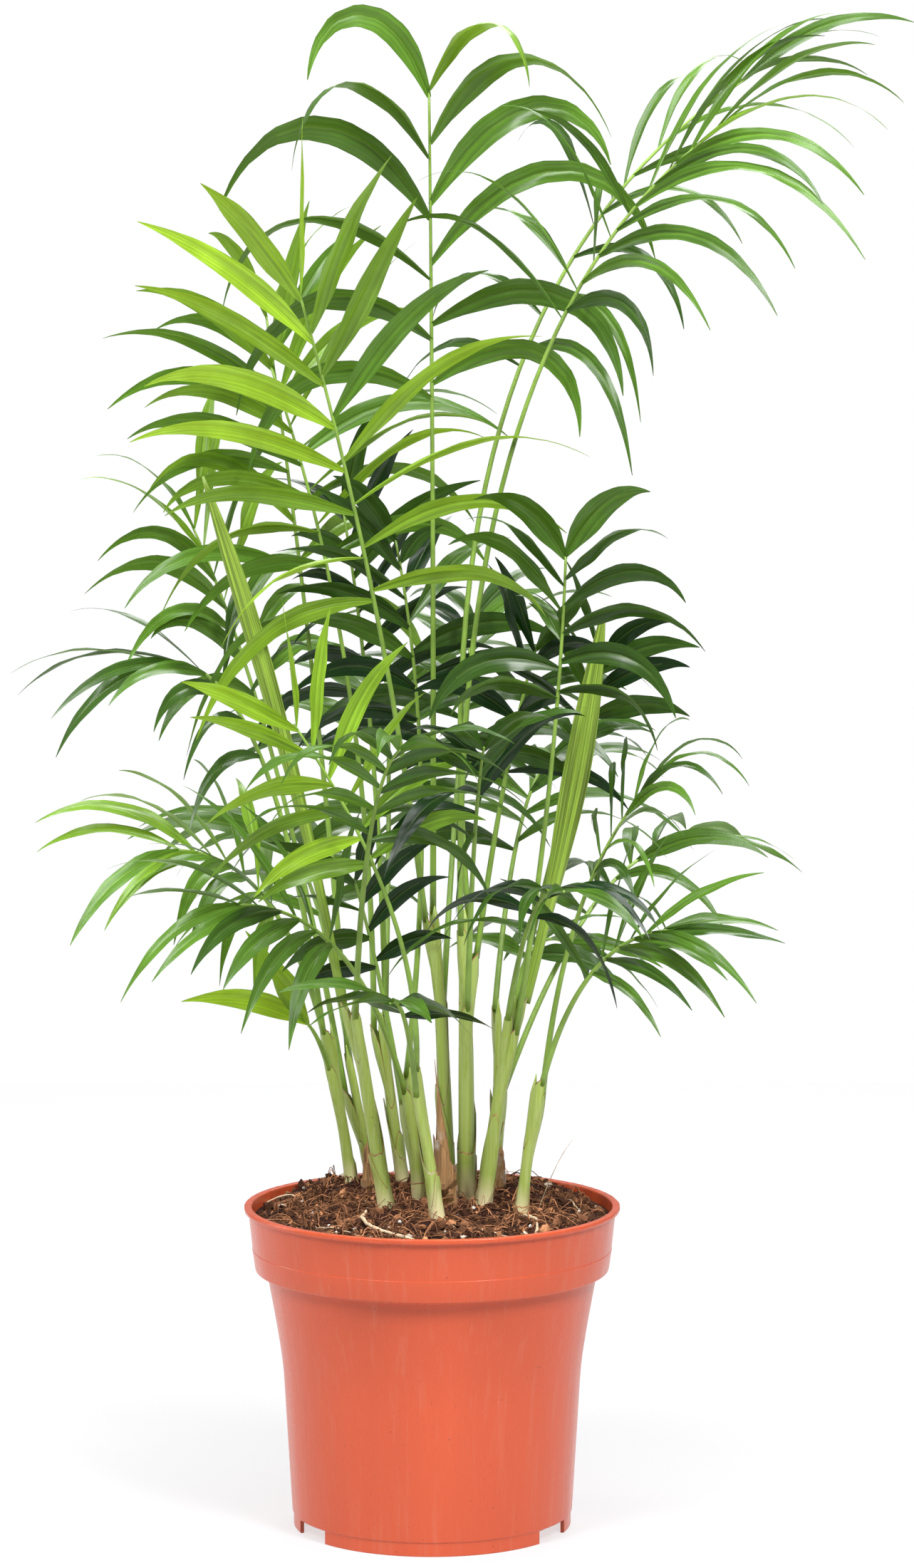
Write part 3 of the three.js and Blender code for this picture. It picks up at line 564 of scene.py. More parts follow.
def sweep(bm, points, aheads, radii, sides, reference, flat=1.0, mark=0):
    """A closed tube: a circle across the path that is extruded from point to point. Its first face is the
    cap at its start, and the walls follow, ring after ring."""
    reference = np.array(reference, float)
    ring = bmesh.ops.create_circle(bm, cap_ends=True, segments=sides, radius=1)["verts"]
    last = frame_at(points[0], aheads[0], reference, radii[0], flat)
    bmesh.ops.transform(bm, matrix=last, verts=ring)
    whole = list(ring)
    cap = [face for face in ring[0].link_faces if len(face.verts) == sides][0]
    cap.normal_flip()
    made = [cap]
    edges = list(cap.edges)
    for point, ahead, radius in zip(points[1:], aheads[1:], radii[1:]):
        grown = bmesh.ops.extrude_edge_only(bm, edges=edges)["geom"]
        ring = [item for item in grown if isinstance(item, bmesh.types.BMVert)]
        kept = set(ring)
        edges = [item for item in grown
                 if isinstance(item, bmesh.types.BMEdge) and kept.issuperset(item.verts)]
        made += [item for item in grown if isinstance(item, bmesh.types.BMFace)]
        place = frame_at(point, ahead, reference, radius, flat)
        bmesh.ops.transform(bm, matrix=place @ last.inverted(), verts=ring)
        last = place
        whole += ring
    made += bmesh.ops.contextual_create(bm, geom=edges)["faces"]
    for face in made:
        face.material_index = mark
    return whole, made


def sweep_curve(bm, curve, radius_at, steps, sides, reference, flat=1.0):
    """A sweep along a quadratic curve."""
    shares = np.linspace(0, 1, steps + 1)
    points = [curve.point(t) for t in shares]
    aheads = [curve.heading(t) for t in shares]
    radii = [radius_at(t) for t in shares]
    return sweep(bm, points, aheads, radii, sides, reference, flat)


# --------------------------------------------------------------------------------------- materials

# The sockets of a Mix node that are for colours. They share their names with others, so they go by number.
MIX_FACTOR = 0
MIX_LOW = 6
MIX_HIGH = 7
MIX_RESULT = 2


def feed(tree, socket, value):
    """Sets a socket to a plain value, or links it to a (node, output)."""
    if isinstance(value, tuple) and isinstance(value[0], bpy.types.Node):
        node, output = value
        tree.links.new(node.outputs[output], socket)
    else:
        socket.default_value = value


def shader(tree, kind, inputs=None, **choices):
    """A node with its choices and inputs. An input is a plain value or a (node, output)."""
    made = tree.nodes.new(kind)
    for key, value in choices.items():
        setattr(made, key, value)
    for key, value in (inputs or {}).items():
        feed(tree, made.inputs[key], value)
    return made


def new_material(name, **values):
    """A material with a principled shader whose plain values are set on its own sockets."""
    material = bpy.data.materials.new(name)
    material.use_nodes = True
    principled = material.node_tree.nodes["Principled BSDF"]
    for key, value in values.items():
        principled.inputs[key.replace("_", " ")].default_value = value
    return material, material.node_tree, principled


def object_place(tree, upward=1.0):
    """The place in the object. Noise that reads it runs in upright streaks where upward is small."""
    coordinates = shader(tree, "ShaderNodeTexCoord")
    inputs = {"Vector": (coordinates, "Object"), "Scale": (1, 1, upward)}
    return shader(tree, "ShaderNodeMapping", inputs), "Vector"


def surface_place(tree, along):
    """The place on a leaf. Noise that reads it runs in streaks from foot to tip where along is small."""
    surface = shader(tree, "ShaderNodeUVMap", uv_map=SURFACE)
    inputs = {"Vector": (surface, "UV"), "Scale": (1, along, 1)}
    return shader(tree, "ShaderNodeMapping", inputs), "Vector"


def noise_from(tree, place, scale, detail=3.0, roughness=0.55):
    """Noise between 0 and 1 that is read at a place."""
    inputs = {"Vector": place, "Scale": scale, "Detail": detail, "Roughness": roughness}
    return shader(tree, "ShaderNodeTexNoise", inputs), "Fac"


def mixed(tree, factor, low, high):
    """A colour between two. Each of the three is a plain value or a (node, output)."""
    low, high = (colour if isinstance(colour[0], bpy.types.Node) else (*colour, 1) for colour in (low, high))
    inputs = {MIX_FACTOR: factor, MIX_LOW: low, MIX_HIGH: high}
    return shader(tree, "ShaderNodeMix", inputs, data_type="RGBA"), MIX_RESULT


def ranged(tree, source, low, high, to_low=0.0, to_high=1.0):
    """A value brought from one range to another."""
    inputs = {"Value": source, "From Min": low, "From Max": high, "To Min": to_low, "To Max": to_high}
    return shader(tree, "ShaderNodeMapRange", inputs, clamp=True), "Result"


def painted(tree, principled, colour):
    """Gives the shader its colour from a (node, output)."""
    feed(tree, principled.inputs["Base Color"], colour)


def bumped(tree, principled, source, strength, distance):
    """Adds relief from a node's value to the shader."""
    bump = shader(tree, "ShaderNodeBump", {"Height": source, "Strength": strength, "Distance": distance})
    before = principled.inputs["Normal"]
    if before.is_linked:
        tree.links.new(before.links[0].from_socket, bump.inputs["Normal"])
    tree.links.new(bump.outputs["Normal"], before)


def shaded(colour, share):
    """A lighter or darker shade of a colour."""
    return tuple(min(1.0, part * share) for part in colour)


# ------------------------------------------------------------------------------------- the settings

COLOUR = dict(subtype="COLOR", size=3, min=0.0, max=1.0)


class PotSettings(bpy.types.PropertyGroup):
    colour: bpy.props.FloatVectorProperty(
        name="Plastic", description="Colour of the moulded plastic", default=(0.62, 0.092, 0.032), **COLOUR)
    roughness: bpy.props.FloatProperty(
        name="Roughness", description="How dull the plastic is", default=0.24, min=0.0, max=1.0)
    ragged: bpy.props.FloatProperty(
        name="Ragged lip", description="How far the flash on the lip strays, in millimetres",
        default=0.22, min=0.0, max=1.0)


class SoilSettings(bpy.types.PropertyGroup):
    colour: bpy.props.FloatVectorProperty(
        name="Peat", description="Colour of the damp peat", default=(0.026, 0.008, 0.005), **COLOUR)
    light: bpy.props.FloatVectorProperty(
        name="Coir", description="Colour of the dry fibres and crumbs", default=(0.60, 0.27, 0.13), **COLOUR)
    crumbs: bpy.props.IntProperty(name="Crumbs", description="Number of crumbs", default=5200, min=0)
    fibres: bpy.props.IntProperty(name="Fibres", description="Number of fibres", default=1700, min=0)
    sunk: bpy.props.FloatProperty(
        name="Sunk edge", description="How far the soil has sunk at the wall, in millimetres",
        default=1.2, min=0.0, max=6.0)


class StemSettings(bpy.types.PropertyGroup):
    spear: bpy.props.FloatVectorProperty(
        name="Spear", description="Colour of the young leaves that are still shut",
        default=(0.27, 0.41, 0.05), **COLOUR)
    foot: bpy.props.FloatVectorProperty(
        name="Foot", description="Colour of a cane near the soil", default=(0.86, 0.76, 0.44), **COLOUR)
    green: bpy.props.FloatVectorProperty(
        name="Green", description="Colour of canes and sheaths", default=(0.36, 0.48, 0.075), **COLOUR)
    petiole: bpy.props.FloatVectorProperty(
        name="Stalk", description="Colour of the stalks of fronds", default=(0.22, 0.36, 0.055), **COLOUR)
    margin: bpy.props.FloatVectorProperty(
        name="Margin", description="Colour of papery sheath margins", default=(0.34, 0.17, 0.07), **COLOUR)
    dry: bpy.props.FloatVectorProperty(
        name="Dry sheath", description="Colour of dead sheaths", default=(0.40, 0.22, 0.09), **COLOUR)


class LeafSettings(bpy.types.PropertyGroup):
    # The dark green is also painted shade: it goes to the inner fronds that lie in the shade of the crown.
    dark: bpy.props.FloatVectorProperty(
        name="Dark leaf", description="Colour of the oldest leaflets",
        default=(0.009, 0.034, 0.007), **COLOUR)
    middle: bpy.props.FloatVectorProperty(
        name="Middle leaf", description="Colour of most leaflets", default=(0.100, 0.225, 0.024), **COLOUR)
    # The bright green is also painted light: it goes to the fronds in the most light.
    bright: bpy.props.FloatVectorProperty(
        name="Bright leaf", description="Colour of the youngest leaflets",
        default=(0.32, 0.54, 0.036), **COLOUR)
    fold: bpy.props.FloatProperty(
        name="Fold", description="How far a leaflet's halves stand up from its nerve",
        default=0.42, min=0.0, max=1.0)
    sway: bpy.props.FloatProperty(
        name="Sway", description="How far a leaflet may be turned about its own length, in degrees",
        default=42, min=0.0, max=90.0)
    slender: bpy.props.FloatProperty(
        name="Slender", description="Greatest width of a leaflet as a share of its solid's",
        default=0.96, min=0.1, max=1.0)
    roughness: bpy.props.FloatProperty(
        name="Roughness", description="How dull the leaves are", default=0.27, min=0.0, max=1.0)
    translucence: bpy.props.FloatProperty(
        name="Translucence", description="Share of the light that passes through",
        default=0.22, min=0.0, max=1.0, subtype="FACTOR")


class StageSettings(bpy.types.PropertyGroup):
    surround: bpy.props.FloatProperty(
        name="Surround", description="Strength of the light from the white surround", default=0.07, min=0.0)
    sheen: bpy.props.FloatProperty(
        name="Sheen", description="Strength of the surround as glossy surfaces mirror it",
        default=0.38, min=0.0)
    floor_glow: bpy.props.FloatProperty(
        name="Floor glow", description="Strength of the light that the floor sends up", default=0.66, min=0.0)
    lights: bpy.props.FloatProperty(
        name="Lights", description="Strength of the soft boxes together", default=0.475, min=0.0)


def settings(name):
    return getattr(bpy.context.scene, name)


# -------------------------------------------------------------------------------------------- pot

POT_STEPS = 168
CORNER = {"steps": 4, "most": 0.45}  # most: how far an arc may reach towards the next corner, of the way
NEAR = 1e-4  # within which points are one
LEVEL = 0.05  # within which a face is at a height
# The flash on the lip: how far down and in it reaches, its fine part, and how far it leans in and down.
FLASH = {"down": 0.5, "in": 1.2, "fine": 0.6, "lean": 0.5, "upright": 0.5}


def plastic_material():
    """Glossy moulded plastic: upright streaks of painted reflection in a paler shade, streaky relief, fine
    scuffs and dark specks.
    """
    look = settings("palm_pot")
    material, tree, principled = new_material(
        "gloss_plastic", Roughness=look.roughness, Specular_IOR_Level=0.42)
    colour = tuple(look.colour)
    # A paler shade of the plastic, painted in upright streaks as the reflection of a bright surround.
    pale = (colour[0], 2 * colour[1], 3.4 * colour[2])
    dark = (0.16, 0.04, 0.03)
    patches = noise_from(tree, object_place(tree, 0.06), scale=30)
    tint = mixed(tree, ranged(tree, patches, 0.3, 0.7), shaded(colour, 0.95), shaded(colour, 1.04))
    # Upright streaks of painted reflection: the paler shade mixed into the colour.
    painted_reflection_streaks = noise_from(tree, object_place(tree, 0.0015), scale=240, detail=4, roughness=0.7)
    with_painted_reflection = mixed(tree, ranged(tree, painted_reflection_streaks, 0.54, 0.86, to_high=0.6), tint, pale)
    specks = noise_from(tree, object_place(tree), scale=900, detail=1)
    painted(tree, principled, mixed(tree, ranged(tree, specks, 0.76, 0.80), with_painted_reflection, dark))
    streaks = noise_from(tree, object_place(tree, 0.004), scale=520, roughness=0.65)
    bumped(tree, principled, streaks, strength=0.35, distance=0.0003)
    scuffs = noise_from(tree, object_place(tree, 4), scale=420, detail=5, roughness=0.7)
    bumped(tree, principled, scuffs, strength=0.06, distance=0.0002)
    rough = noise_from(tree, object_place(tree, 0.08), scale=110, detail=4)
    dull = ranged(tree, rough, 0.3, 0.75, to_low=look.roughness - 0.05, to_high=look.roughness + 0.12)
    feed(tree, principled.inputs["Roughness"], dull)
    return material


def pot_profile():
    """Radius and height of the wall's corners with how far each is rounded, outside and then inside."""
    foot, slope, radius, low = FOOT["radius"], FOOT["slope"], SKIRT["radius"], SKIRT["height"]
    seam = lerp(BAND["low"], LIP["low"], BAND["seam"])
    seam_radius = lerp(BAND["low_radius"], BAND["high_radius"], BAND["seam"])
    step = BAND["seam_depth"]
    outside = [
        (0, 0, 0), (foot, 0, 0.5), (foot + slope, low, 0.6), (radius - WALL, low, 0.4),
        (radius - WALL, 0, 0.3), (radius, 0, 0.5), (radius, low - 0.5, 0.15),
        (BODY[0][0] + 0.1, low + 0.1, 0.15), (*BODY[1], 12), (*BODY[2], 9), (*BODY[3], 1.4),
        (BAND["low_radius"] - 0.3, BAND["low"] + 0.15, 0.9), (seam_radius, seam - 0.25, 0.08),
        (seam_radius - step, seam, 0.08), (seam_radius - step + 0.04, seam + 0.35, 0.08),
        (BAND["high_radius"] - 0.15, LIP["low"] - 0.2, 0.35), (LIP["outer"] - 0.25, LIP["low"], 0.3),
        (LIP["outer"], LIP["high"] - 1.05, 0.4), (LIP["outer"] - 0.2, LIP["high"], 0.45),
    ]
    inside = [
        (LIP["inner"], LIP["high"] - 0.1, 0.7), (BAND["low_radius"] - WALL, BAND["low"] + WALL, 0.8),
        (BODY[3][0] - WALL, BODY[3][1] + WALL, 0.8), (BODY[2][0] - WALL, BODY[2][1], 0.5),
        (BODY[1][0] - WALL, BODY[1][1], 0.5), (BODY[0][0] - WALL, low + WALL, 0.8),
        (foot + slope - 1, low + WALL, 0.5), (foot - 1, WALL, 0.5), (0, WALL, 0),
    ]
    return outside + inside


def rounded(corners):
    """A line of corners with each one turned in an arc."""
    line = [corners[0][:2]]
    for before, (radius, height, size), after in zip(corners, corners[1:], corners[2:]):
        here = np.array((radius, height), float)
        back, ahead = (np.array(other[:2], float) - here for other in (before, after))
        room = min(size, CORNER["most"] * np.linalg.norm(back), CORNER["most"] * np.linalg.norm(ahead))
        curve = Curve((*(here + unit(back) * room), 0), (*here, 0), (*(here + unit(ahead) * room), 0))
        line += [tuple(curve.point(step / CORNER["steps"])[:2]) for step in range(CORNER["steps"] + 1)]
    return line + [corners[-1][:2]]


def spun(bm, line, steps):
    """A closed shell: a line of radius and height, from the axis to the axis, spun about +Z."""
    points = [bm.verts.new((radius, 0, height)) for radius, height in line]
    edges = [bm.edges.new(pair) for pair in zip(points, points[1:])]
    bmesh.ops.spin(bm, geom=points + edges, cent=(0, 0, 0), axis=(0, 0, 1), angle=2 * math.pi, steps=steps,
                   use_merge=True, use_duplicate=False)
    bmesh.ops.remove_doubles(bm, verts=bm.verts, dist=NEAR)
    bmesh.ops.recalc_face_normals(bm, faces=bm.faces)


class PALM_OT_pot(bpy.types.Operator):
    """Moulds the pot with its band, ragged lip, notched skirt and drain holes"""

    bl_idname = "palm.pot"
    bl_label = "Pot"

    def execute(self, context):
        bm = bmesh.new()
        spun(bm, rounded(pot_profile()), POT_STEPS)
        self.cut_notches(bm)
        self.cut_drains(bm)
        self.roughen_lip(bm, settings("palm_pot").ragged)
        piece_from(bm, "pot_body", [plastic_material()], ["pot"])
        return {"FINISHED"}

    @staticmethod
    def in_skirt(face, middle, half):
        """Whether a face is in the skirt's wall and within half an angle of a notch's middle."""
        x, y, z = face.calc_center_median()
        away = abs((math.atan2(y, x) - middle + math.pi) % (2 * math.pi) - math.pi)
        return away < half and math.hypot(x, y) > SKIRT["radius"] - WALL - 0.5 * GAP

    def skirt(self, bm, middle):
        """The skirt's wall for some way on both sides of a notch's middle: faces, edges and points."""
        half = math.radians(SKIRT["notch_angle"])
        faces = [face for face in bm.faces
                 if face.calc_center_median().z < SKIRT["height"] and self.in_skirt(face, middle, half)]
        return list({item for face in faces for item in (face, *face.edges, *face.verts)})

    def cut_notches(self, bm):
        """Takes the skirt's wall away between two planes at each notch, and closes the cut."""
        half = math.radians(SKIRT["notch_angle"] / 2)
        top = SKIRT["height"] - GAP
        for angle in SKIRT["notches"]:
            middle = math.radians(angle)
            bmesh.ops.bisect_plane(bm, geom=self.skirt(bm, middle), dist=NEAR, plane_co=(0, 0, top),
                                   plane_no=(0, 0, 1))
            for side in (middle - half, middle + half):
                bmesh.ops.bisect_plane(bm, geom=self.skirt(bm, middle), dist=NEAR, plane_co=(0, 0, 0),
                                       plane_no=(-math.sin(side), math.cos(side), 0))
            gone = [face for face in bm.faces
                    if self.in_skirt(face, middle, half) and face.calc_center_median().z < top]
            bmesh.ops.delete(bm, geom=gone, context="FACES")
            bmesh.ops.holes_fill(bm, edges=[edge for edge in bm.edges if edge.is_boundary], sides=0)

    @staticmethod
    def cut_drains(bm):
        """Six round holes through the floor: a disc is cut from both of its faces, and bridged."""
        for number in range(DRAIN["count"]):
            angle = 2 * math.pi * number / DRAIN["count"]
            centre = Vector((DRAIN["circle"] * math.cos(angle), DRAIN["circle"] * math.sin(angle)))
            rings = []
            for height in (SKIRT["height"], SKIRT["height"] + WALL):
                near = [face for face in bm.faces
                        if abs(face.calc_center_median().z - height) < LEVEL and
                        (face.calc_center_median().xy - centre).length < DRAIN["radius"]]
                edges = {edge for face in near for edge in face.edges}
                rings.append([edge for edge in edges if sum(face in near for face in edge.link_faces) == 1])
                bmesh.ops.delete(bm, geom=near, context="FACES")
            edges = [edge for rim in rings for edge in rim if edge.is_valid]
            for vert in {vert for edge in edges for vert in edge.verts}:
                vert.co.xy = centre + (vert.co.xy - centre).normalized() * DRAIN["radius"]
            bmesh.ops.bridge_loops(bm, edges=edges)

    @staticmethod
    def roughen_lip(bm, ragged):
        """Strays the lip's outer edge a little, as the flash of a mould does."""
        for vert in bm.verts:
            x, y, z = vert.co
            if z > LIP["low"] - FLASH["down"] and math.hypot(x, y) > LIP["outer"] - FLASH["in"]:
                coarse = bumpy(x, y, z, size=2.4)
                fine = bumpy(x, y, z, size=0.9, seed=1)
                upward = bumpy(x, y, z, size=3.1, seed=2)
                out = ragged * (coarse + FLASH["fine"] * fine - FLASH["lean"])
                vert.co.xy *= 1 + out / LIP["outer"]
                vert.co.z += ragged * FLASH["upright"] * (upward - FLASH["lean"])


# -------------------------------------------------------------------------------------------- soil

SOIL_STEPS = 176
# The soil's bed: how far down it is made, its rings from the wall inwards, and the radius of the last one.
BED = {"low": 60, "corner": 0.5, "from_wall": 0.9, "inset": 0.8, "rings": 58, "middle": 1.2, "rise": 1}
# Clods on the soil: height, layer of noise and size. They are set down by "sunk".
CLODS = ((1.1, 0, 5), (0.8, 9, 2.2))
CLODS_SUNK = 1.5


def soil_height(x, y, sunk):
    """Height of the soil: mounded in the middle, lumpy, and sunk towards the wall."""
    out = min(1, math.hypot(x, y) / LIP["inner"])
    pitch = SOIL["pitch"]
    lumps = math.sin(x / pitch + SOIL["phase"]) * math.cos(y / pitch) + math.sin((x + y) / SOIL["slant"])
    plain = lerp(SOIL["crown"], SOIL["edge"], out * out) + SOIL["lump"] * lumps * (1 - out ** 4)
    clods = sum(height * bumpy(x, y, layer, size) for height, layer, size in CLODS) - CLODS_SUNK
    mound = sum(MOUND["height"] * math.exp(-((x - side) ** 2 + (y - MOUND["back"]) ** 2) / MOUND["spread"])
                for side in MOUND["sides"])
    return plain + clods * (1 - out ** 6) + mound - (sunk + SOIL["drop"]) * out ** 5


def earth_material(name, colour, spread=0.35):
    """Crumbly earth: patches of two shades with a grainy relief."""
    material, tree, principled = new_material(name, Roughness=0.92, Specular_IOR_Level=0.2)
    patches = noise_from(tree, object_place(tree), scale=260, detail=4, roughness=0.65)
    dark, light = shaded(colour, 1 - spread), shaded(colour, 1 + 2 * spread)
    painted(tree, principled, mixed(tree, ranged(tree, patches, 0.35, 0.65), dark, light))
    grains = noise_from(tree, object_place(tree), scale=1500, roughness=0.7)
    bumped(tree, principled, grains, strength=0.7, distance=0.0006)
    return material


class PALM_OT_soil(bpy.types.Operator):
    """Fills the pot with lumpy soil"""

    bl_idname = "palm.soil"
    bl_label = "Soil"

    def execute(self, context):
        look = settings("palm_soil")
        inset = WALL + GAP
        wall = [(radius - inset, height + (inset if height == BAND["low"] else 0))
                for radius, height in BODY[1:]]
        wall.append((BAND["low_radius"] - inset, BAND["low"] + inset))
        edge = LIP["inner"] - GAP - BED["from_wall"]
        top = SOIL["edge"] - look.sunk
        rings = np.linspace(edge - BED["inset"], BED["middle"], BED["rings"])
        line = [(0, BED["low"]), (BODY[1][0] - inset - BED["corner"], BED["low"]), *wall, (edge, top)]
        line += [(radius, top + BED["rise"]) for radius in (*rings, 0)]
        bm = bmesh.new()
        spun(bm, line, SOIL_STEPS)
        for vert in bm.verts:
            if vert.co.z > top + BED["rise"] / 2:
                vert.co.z = soil_height(vert.co.x, vert.co.y, look.sunk)
        peat = earth_material("damp_peat", tuple(look.colour))
        piece_from(bm, "soil_bed", [peat], ["soil"])
        return {"FINISHED"}


# What lies on the soil, by its place on the ground: stones with their sizes, and pale roots that loop out
# of it, each from one place to another with the height of its arch and its radius.
STONES = [((-60, 6), 2.2), ((-36, 57), 2.6), ((47, 38), 2.4), ((-9, -52), 1.8), ((36, -44), 1.7),
          ((12, -58), 1.5)]
ROOTS = [((-26, -14), (-34, -40), (-7, -56), 3.0, 0.75), ((28, -20), (45, -26), (40, -44), 2.5, 0.6),
         ((-70, 22), (-60, 34), (-52, 24), 2.0, 0.35), ((-48, -22), (-40, -38), (-22, -50), 1.6, 0.3),
         ((8, -40), (24, -52), (44, -46), 1.4, 0.35), ((52, 18), (62, 6), (56, -16), 1.6, 0.3)]
# lie: how high a root's middle line lies, by its radius. rise: by the height of its arch. ends: thinner.
ROOT_STEPS = {"points": 22, "sides": 6, "uneven": 0.18, "wander": 0.8, "lie": 0.6, "rise": 0.5, "ends": 0.5}
# A root as fine as a hair that stands up: places, height and radius. It starts in the soil, and the
# heights of its middle and its end are shares of the whole.
HAIR_ROOT = ((42, 6), (49, -2), (56, 4), 38, 0.22)
HAIR_STEPS = {"points": 14, "sides": 4, "tip": 0.1, "sunk": 2, "middle": 0.55, "end": 0.74}
# Shades of brown between peat and coir, and how many of the crumbs and of the fibres have each.
BROWNS = (0.06, 0.18, 0.42, 0.95)
CRUMB_BROWNS = (0.50, 0.32, 0.14, 0.04)
FIBRE_BROWNS = {1: 0.3, 2: 0.4, 3: 0.3}
# Of each pair, the first is the least and the second is what chance may add.
CRUMB = {"size": (0.35, 1.6), "dents": (0.55, 0.9), "shape": (0.3, 1.1), "rise": 0.25, "from_wall": 1.6}
FIBRE = {"steps": 6, "sides": 3, "length": (4, 18), "radius": (0.11, 0.22), "tip": 0.3, "bend": 1.6,
         "bend_steps": 3, "low": 0.4, "lift": (1.6, 4.8), "start": 8, "from_wall": 3}
STONE = {"dents": (0.8, 0.35), "shape": (1, 0.8, 0.7), "rise": 0.3}
GRAIN = {"count": 34, "dents": (0.8, 0.4), "size": (0.4, 0.6), "rise": 0.5}


def tube_arrays(path, radii, sides):
    """Points and faces of a thin tube along a path, open at its ends."""
    aheads = np.gradient(path, axis=0)
    aheads /= np.linalg.norm(aheads, axis=1)[:, None]
    across = np.cross(aheads, (0.31, 0.17, 0.94))
    across /= np.linalg.norm(across, axis=1)[:, None]
    upward = np.cross(aheads, across)
    turns = 2 * np.pi * np.arange(sides) / sides
    rings = path[:, None] + radii[:, None, None] * (across[:, None] * np.cos(turns)[None, :, None]
                                                    + upward[:, None] * np.sin(turns)[None, :, None])
    low = np.arange(len(path) - 1)[:, None] * sides
    here = np.arange(sides)[None]
    after = (here + 1) % sides
    faces = np.stack((low + here, low + after, low + sides + after, low + sides + here), 2)
    return rings.reshape(-1, 3), faces.reshape(-1, 4)


def pebble():
    """Points and faces of the small ball that crumbs and stones are pulled from."""
    bm = bmesh.new()
    bmesh.ops.create_icosphere(bm, subdivisions=1, radius=1)
    points = np.array([vert.co for vert in bm.verts])
    faces = [[vert.index for vert in face.verts] for face in bm.faces]
    bm.free()
    return points, faces


class PALM_OT_litter(bpy.types.Operator):
    """Scatters crumbs, coir fibres, pale roots and stones over the soil"""

    bl_idname = "palm.litter"
    bl_label = "Crumbs and fibres"

    def execute(self, context):
        look = settings("palm_soil")
        self.sunk = look.sunk
        self.generator = np.random.default_rng(5)
        dark, light = np.array(look.colour), np.array(look.light)
        browns = [earth_material(f"crumb_brown_{number}", tuple(lerp(dark, light, share)), 0.25)
                  for number, share in enumerate(BROWNS)]
        self.scatter_crumbs(look.crumbs, browns)
        self.scatter_fibres(look.fibres, browns)
        batch = Batch()
        self.lay_roots(batch, 0)
        self.lay_stones(batch, 1, 2)
        pale = earth_material("pale_root", (0.75, 0.56, 0.38), 0.18)
        stone = earth_material("pale_stone", (0.66, 0.55, 0.45), 0.2)
        white = earth_material("white_grain", (0.85, 0.80, 0.74), 0.1)
        batch.piece("soil_roots_and_stones", [pale, stone, white], "potting_soil", ["soil"])
        return {"FINISHED"}

    def height(self, x, y):
        return soil_height(x, y, self.sunk)

    def place(self, from_wall=CRUMB["from_wall"]):
        """A place on the soil, evenly over it."""
        radius = (LIP["inner"] - from_wall) * math.sqrt(self.generator.random())
        angle = 2 * math.pi * self.generator.random()
        x, y = radius * math.cos(angle), radius * math.sin(angle)
        return np.array((x, y, self.height(x, y)))

    def any_turn(self):
        """The matrix of a turn at random."""
        return np.array(Euler(2 * math.pi * self.generator.random(3)).to_matrix())

    def scatter_crumbs(self, count, browns):
        ball, faces = pebble()
        batch = Batch()
        for _ in range(count):
            size = CRUMB["size"][0] + CRUMB["size"][1] * self.generator.random() ** 4
            dents = CRUMB["dents"][0] + CRUMB["dents"][1] * self.generator.random((len(ball), 1))
            pulled = CRUMB["shape"][0] + CRUMB["shape"][1] * self.generator.random(3)
            shape = (ball * dents * size * pulled) @ self.any_turn()
            place = self.place()
            place[2] += CRUMB["rise"] * size
            brown = int(self.generator.choice(len(browns), p=CRUMB_BROWNS))
            batch.add(shape + place, faces, brown)
        batch.piece("soil_crumbs", browns, "potting_soil", ["soil"], smooth=False)

    def scatter_fibres(self, count, browns):
        steps = FIBRE["steps"]
        reach = LIP["inner"] - FIBRE["from_wall"]
        batch = Batch()
        for _ in range(count):
            length = FIBRE["length"][0] + FIBRE["length"][1] * self.generator.random() ** 2
            turn = 2 * math.pi * self.generator.random()
            bend = FIBRE["bend"] * (self.generator.random() - 0.5)
            path = [self.place(FIBRE["start"]) - (0, 0, FIBRE["low"])]
            lift = self.generator.random()
            lift = FIBRE["lift"][0] * lift + FIBRE["lift"][1] * lift ** 10
            for step in range(1, steps + 1):
                turn += bend / FIBRE["bend_steps"]
                spot = path[-1] + np.array((math.cos(turn), math.sin(turn), 0)) * length / steps
                out = math.hypot(*spot[:2])
                if out > reach:
                    spot[:2] *= reach / out
                spot[2] = self.height(*spot[:2]) + lift * math.sin(math.pi * step / steps)
                path.append(spot)
            radius = FIBRE["radius"][0] + FIBRE["radius"][1] * self.generator.random() ** 2
            radii = np.full(steps + 1, radius)
            radii[-1] *= FIBRE["tip"]
            brown = int(self.generator.choice(tuple(FIBRE_BROWNS), p=tuple(FIBRE_BROWNS.values())))
            batch.add(*tube_arrays(np.array(path), radii, FIBRE["sides"]), brown)
        batch.piece("soil_fibres", browns, "potting_soil", ["soil"])

    def lay_roots(self, batch, mark):
        count, wander = ROOT_STEPS["points"], ROOT_STEPS["wander"]
        for start, middle, end, arch, radius in ROOTS:
            curve = Curve((*start, 0), (*middle, 0), (*end, 0))
            path = []
            for t in np.linspace(0, 1, count):
                x, y, _ = curve.point(t)
                x, y = x + wander * bumpy(x, y, 3, size=5), y + wander * bumpy(x, y, 7, size=5)
                rise = ROOT_STEPS["lie"] * radius + ROOT_STEPS["rise"] * arch * math.sin(math.pi * t) ** 2
                path.append((x, y, self.height(x, y) + rise))
            radii = radius * (1 + ROOT_STEPS["uneven"] * self.generator.standard_normal(count))
            radii[[0, -1]] *= ROOT_STEPS["ends"]
            batch.add(*tube_arrays(np.array(path), radii, ROOT_STEPS["sides"]), mark)
        start, middle, end, rise, radius = HAIR_ROOT
        low = self.height(*start)
        curve = Curve((*start, low - HAIR_STEPS["sunk"]), (*middle, low + rise * HAIR_STEPS["middle"]),
                      (*end, low + rise * HAIR_STEPS["end"]))
        hair = np.array([curve.point(t) for t in np.linspace(0, 1, HAIR_STEPS["points"])])
        radii = np.linspace(radius, HAIR_STEPS["tip"], HAIR_STEPS["points"])
        batch.add(*tube_arrays(hair, radii, HAIR_STEPS["sides"]), mark)

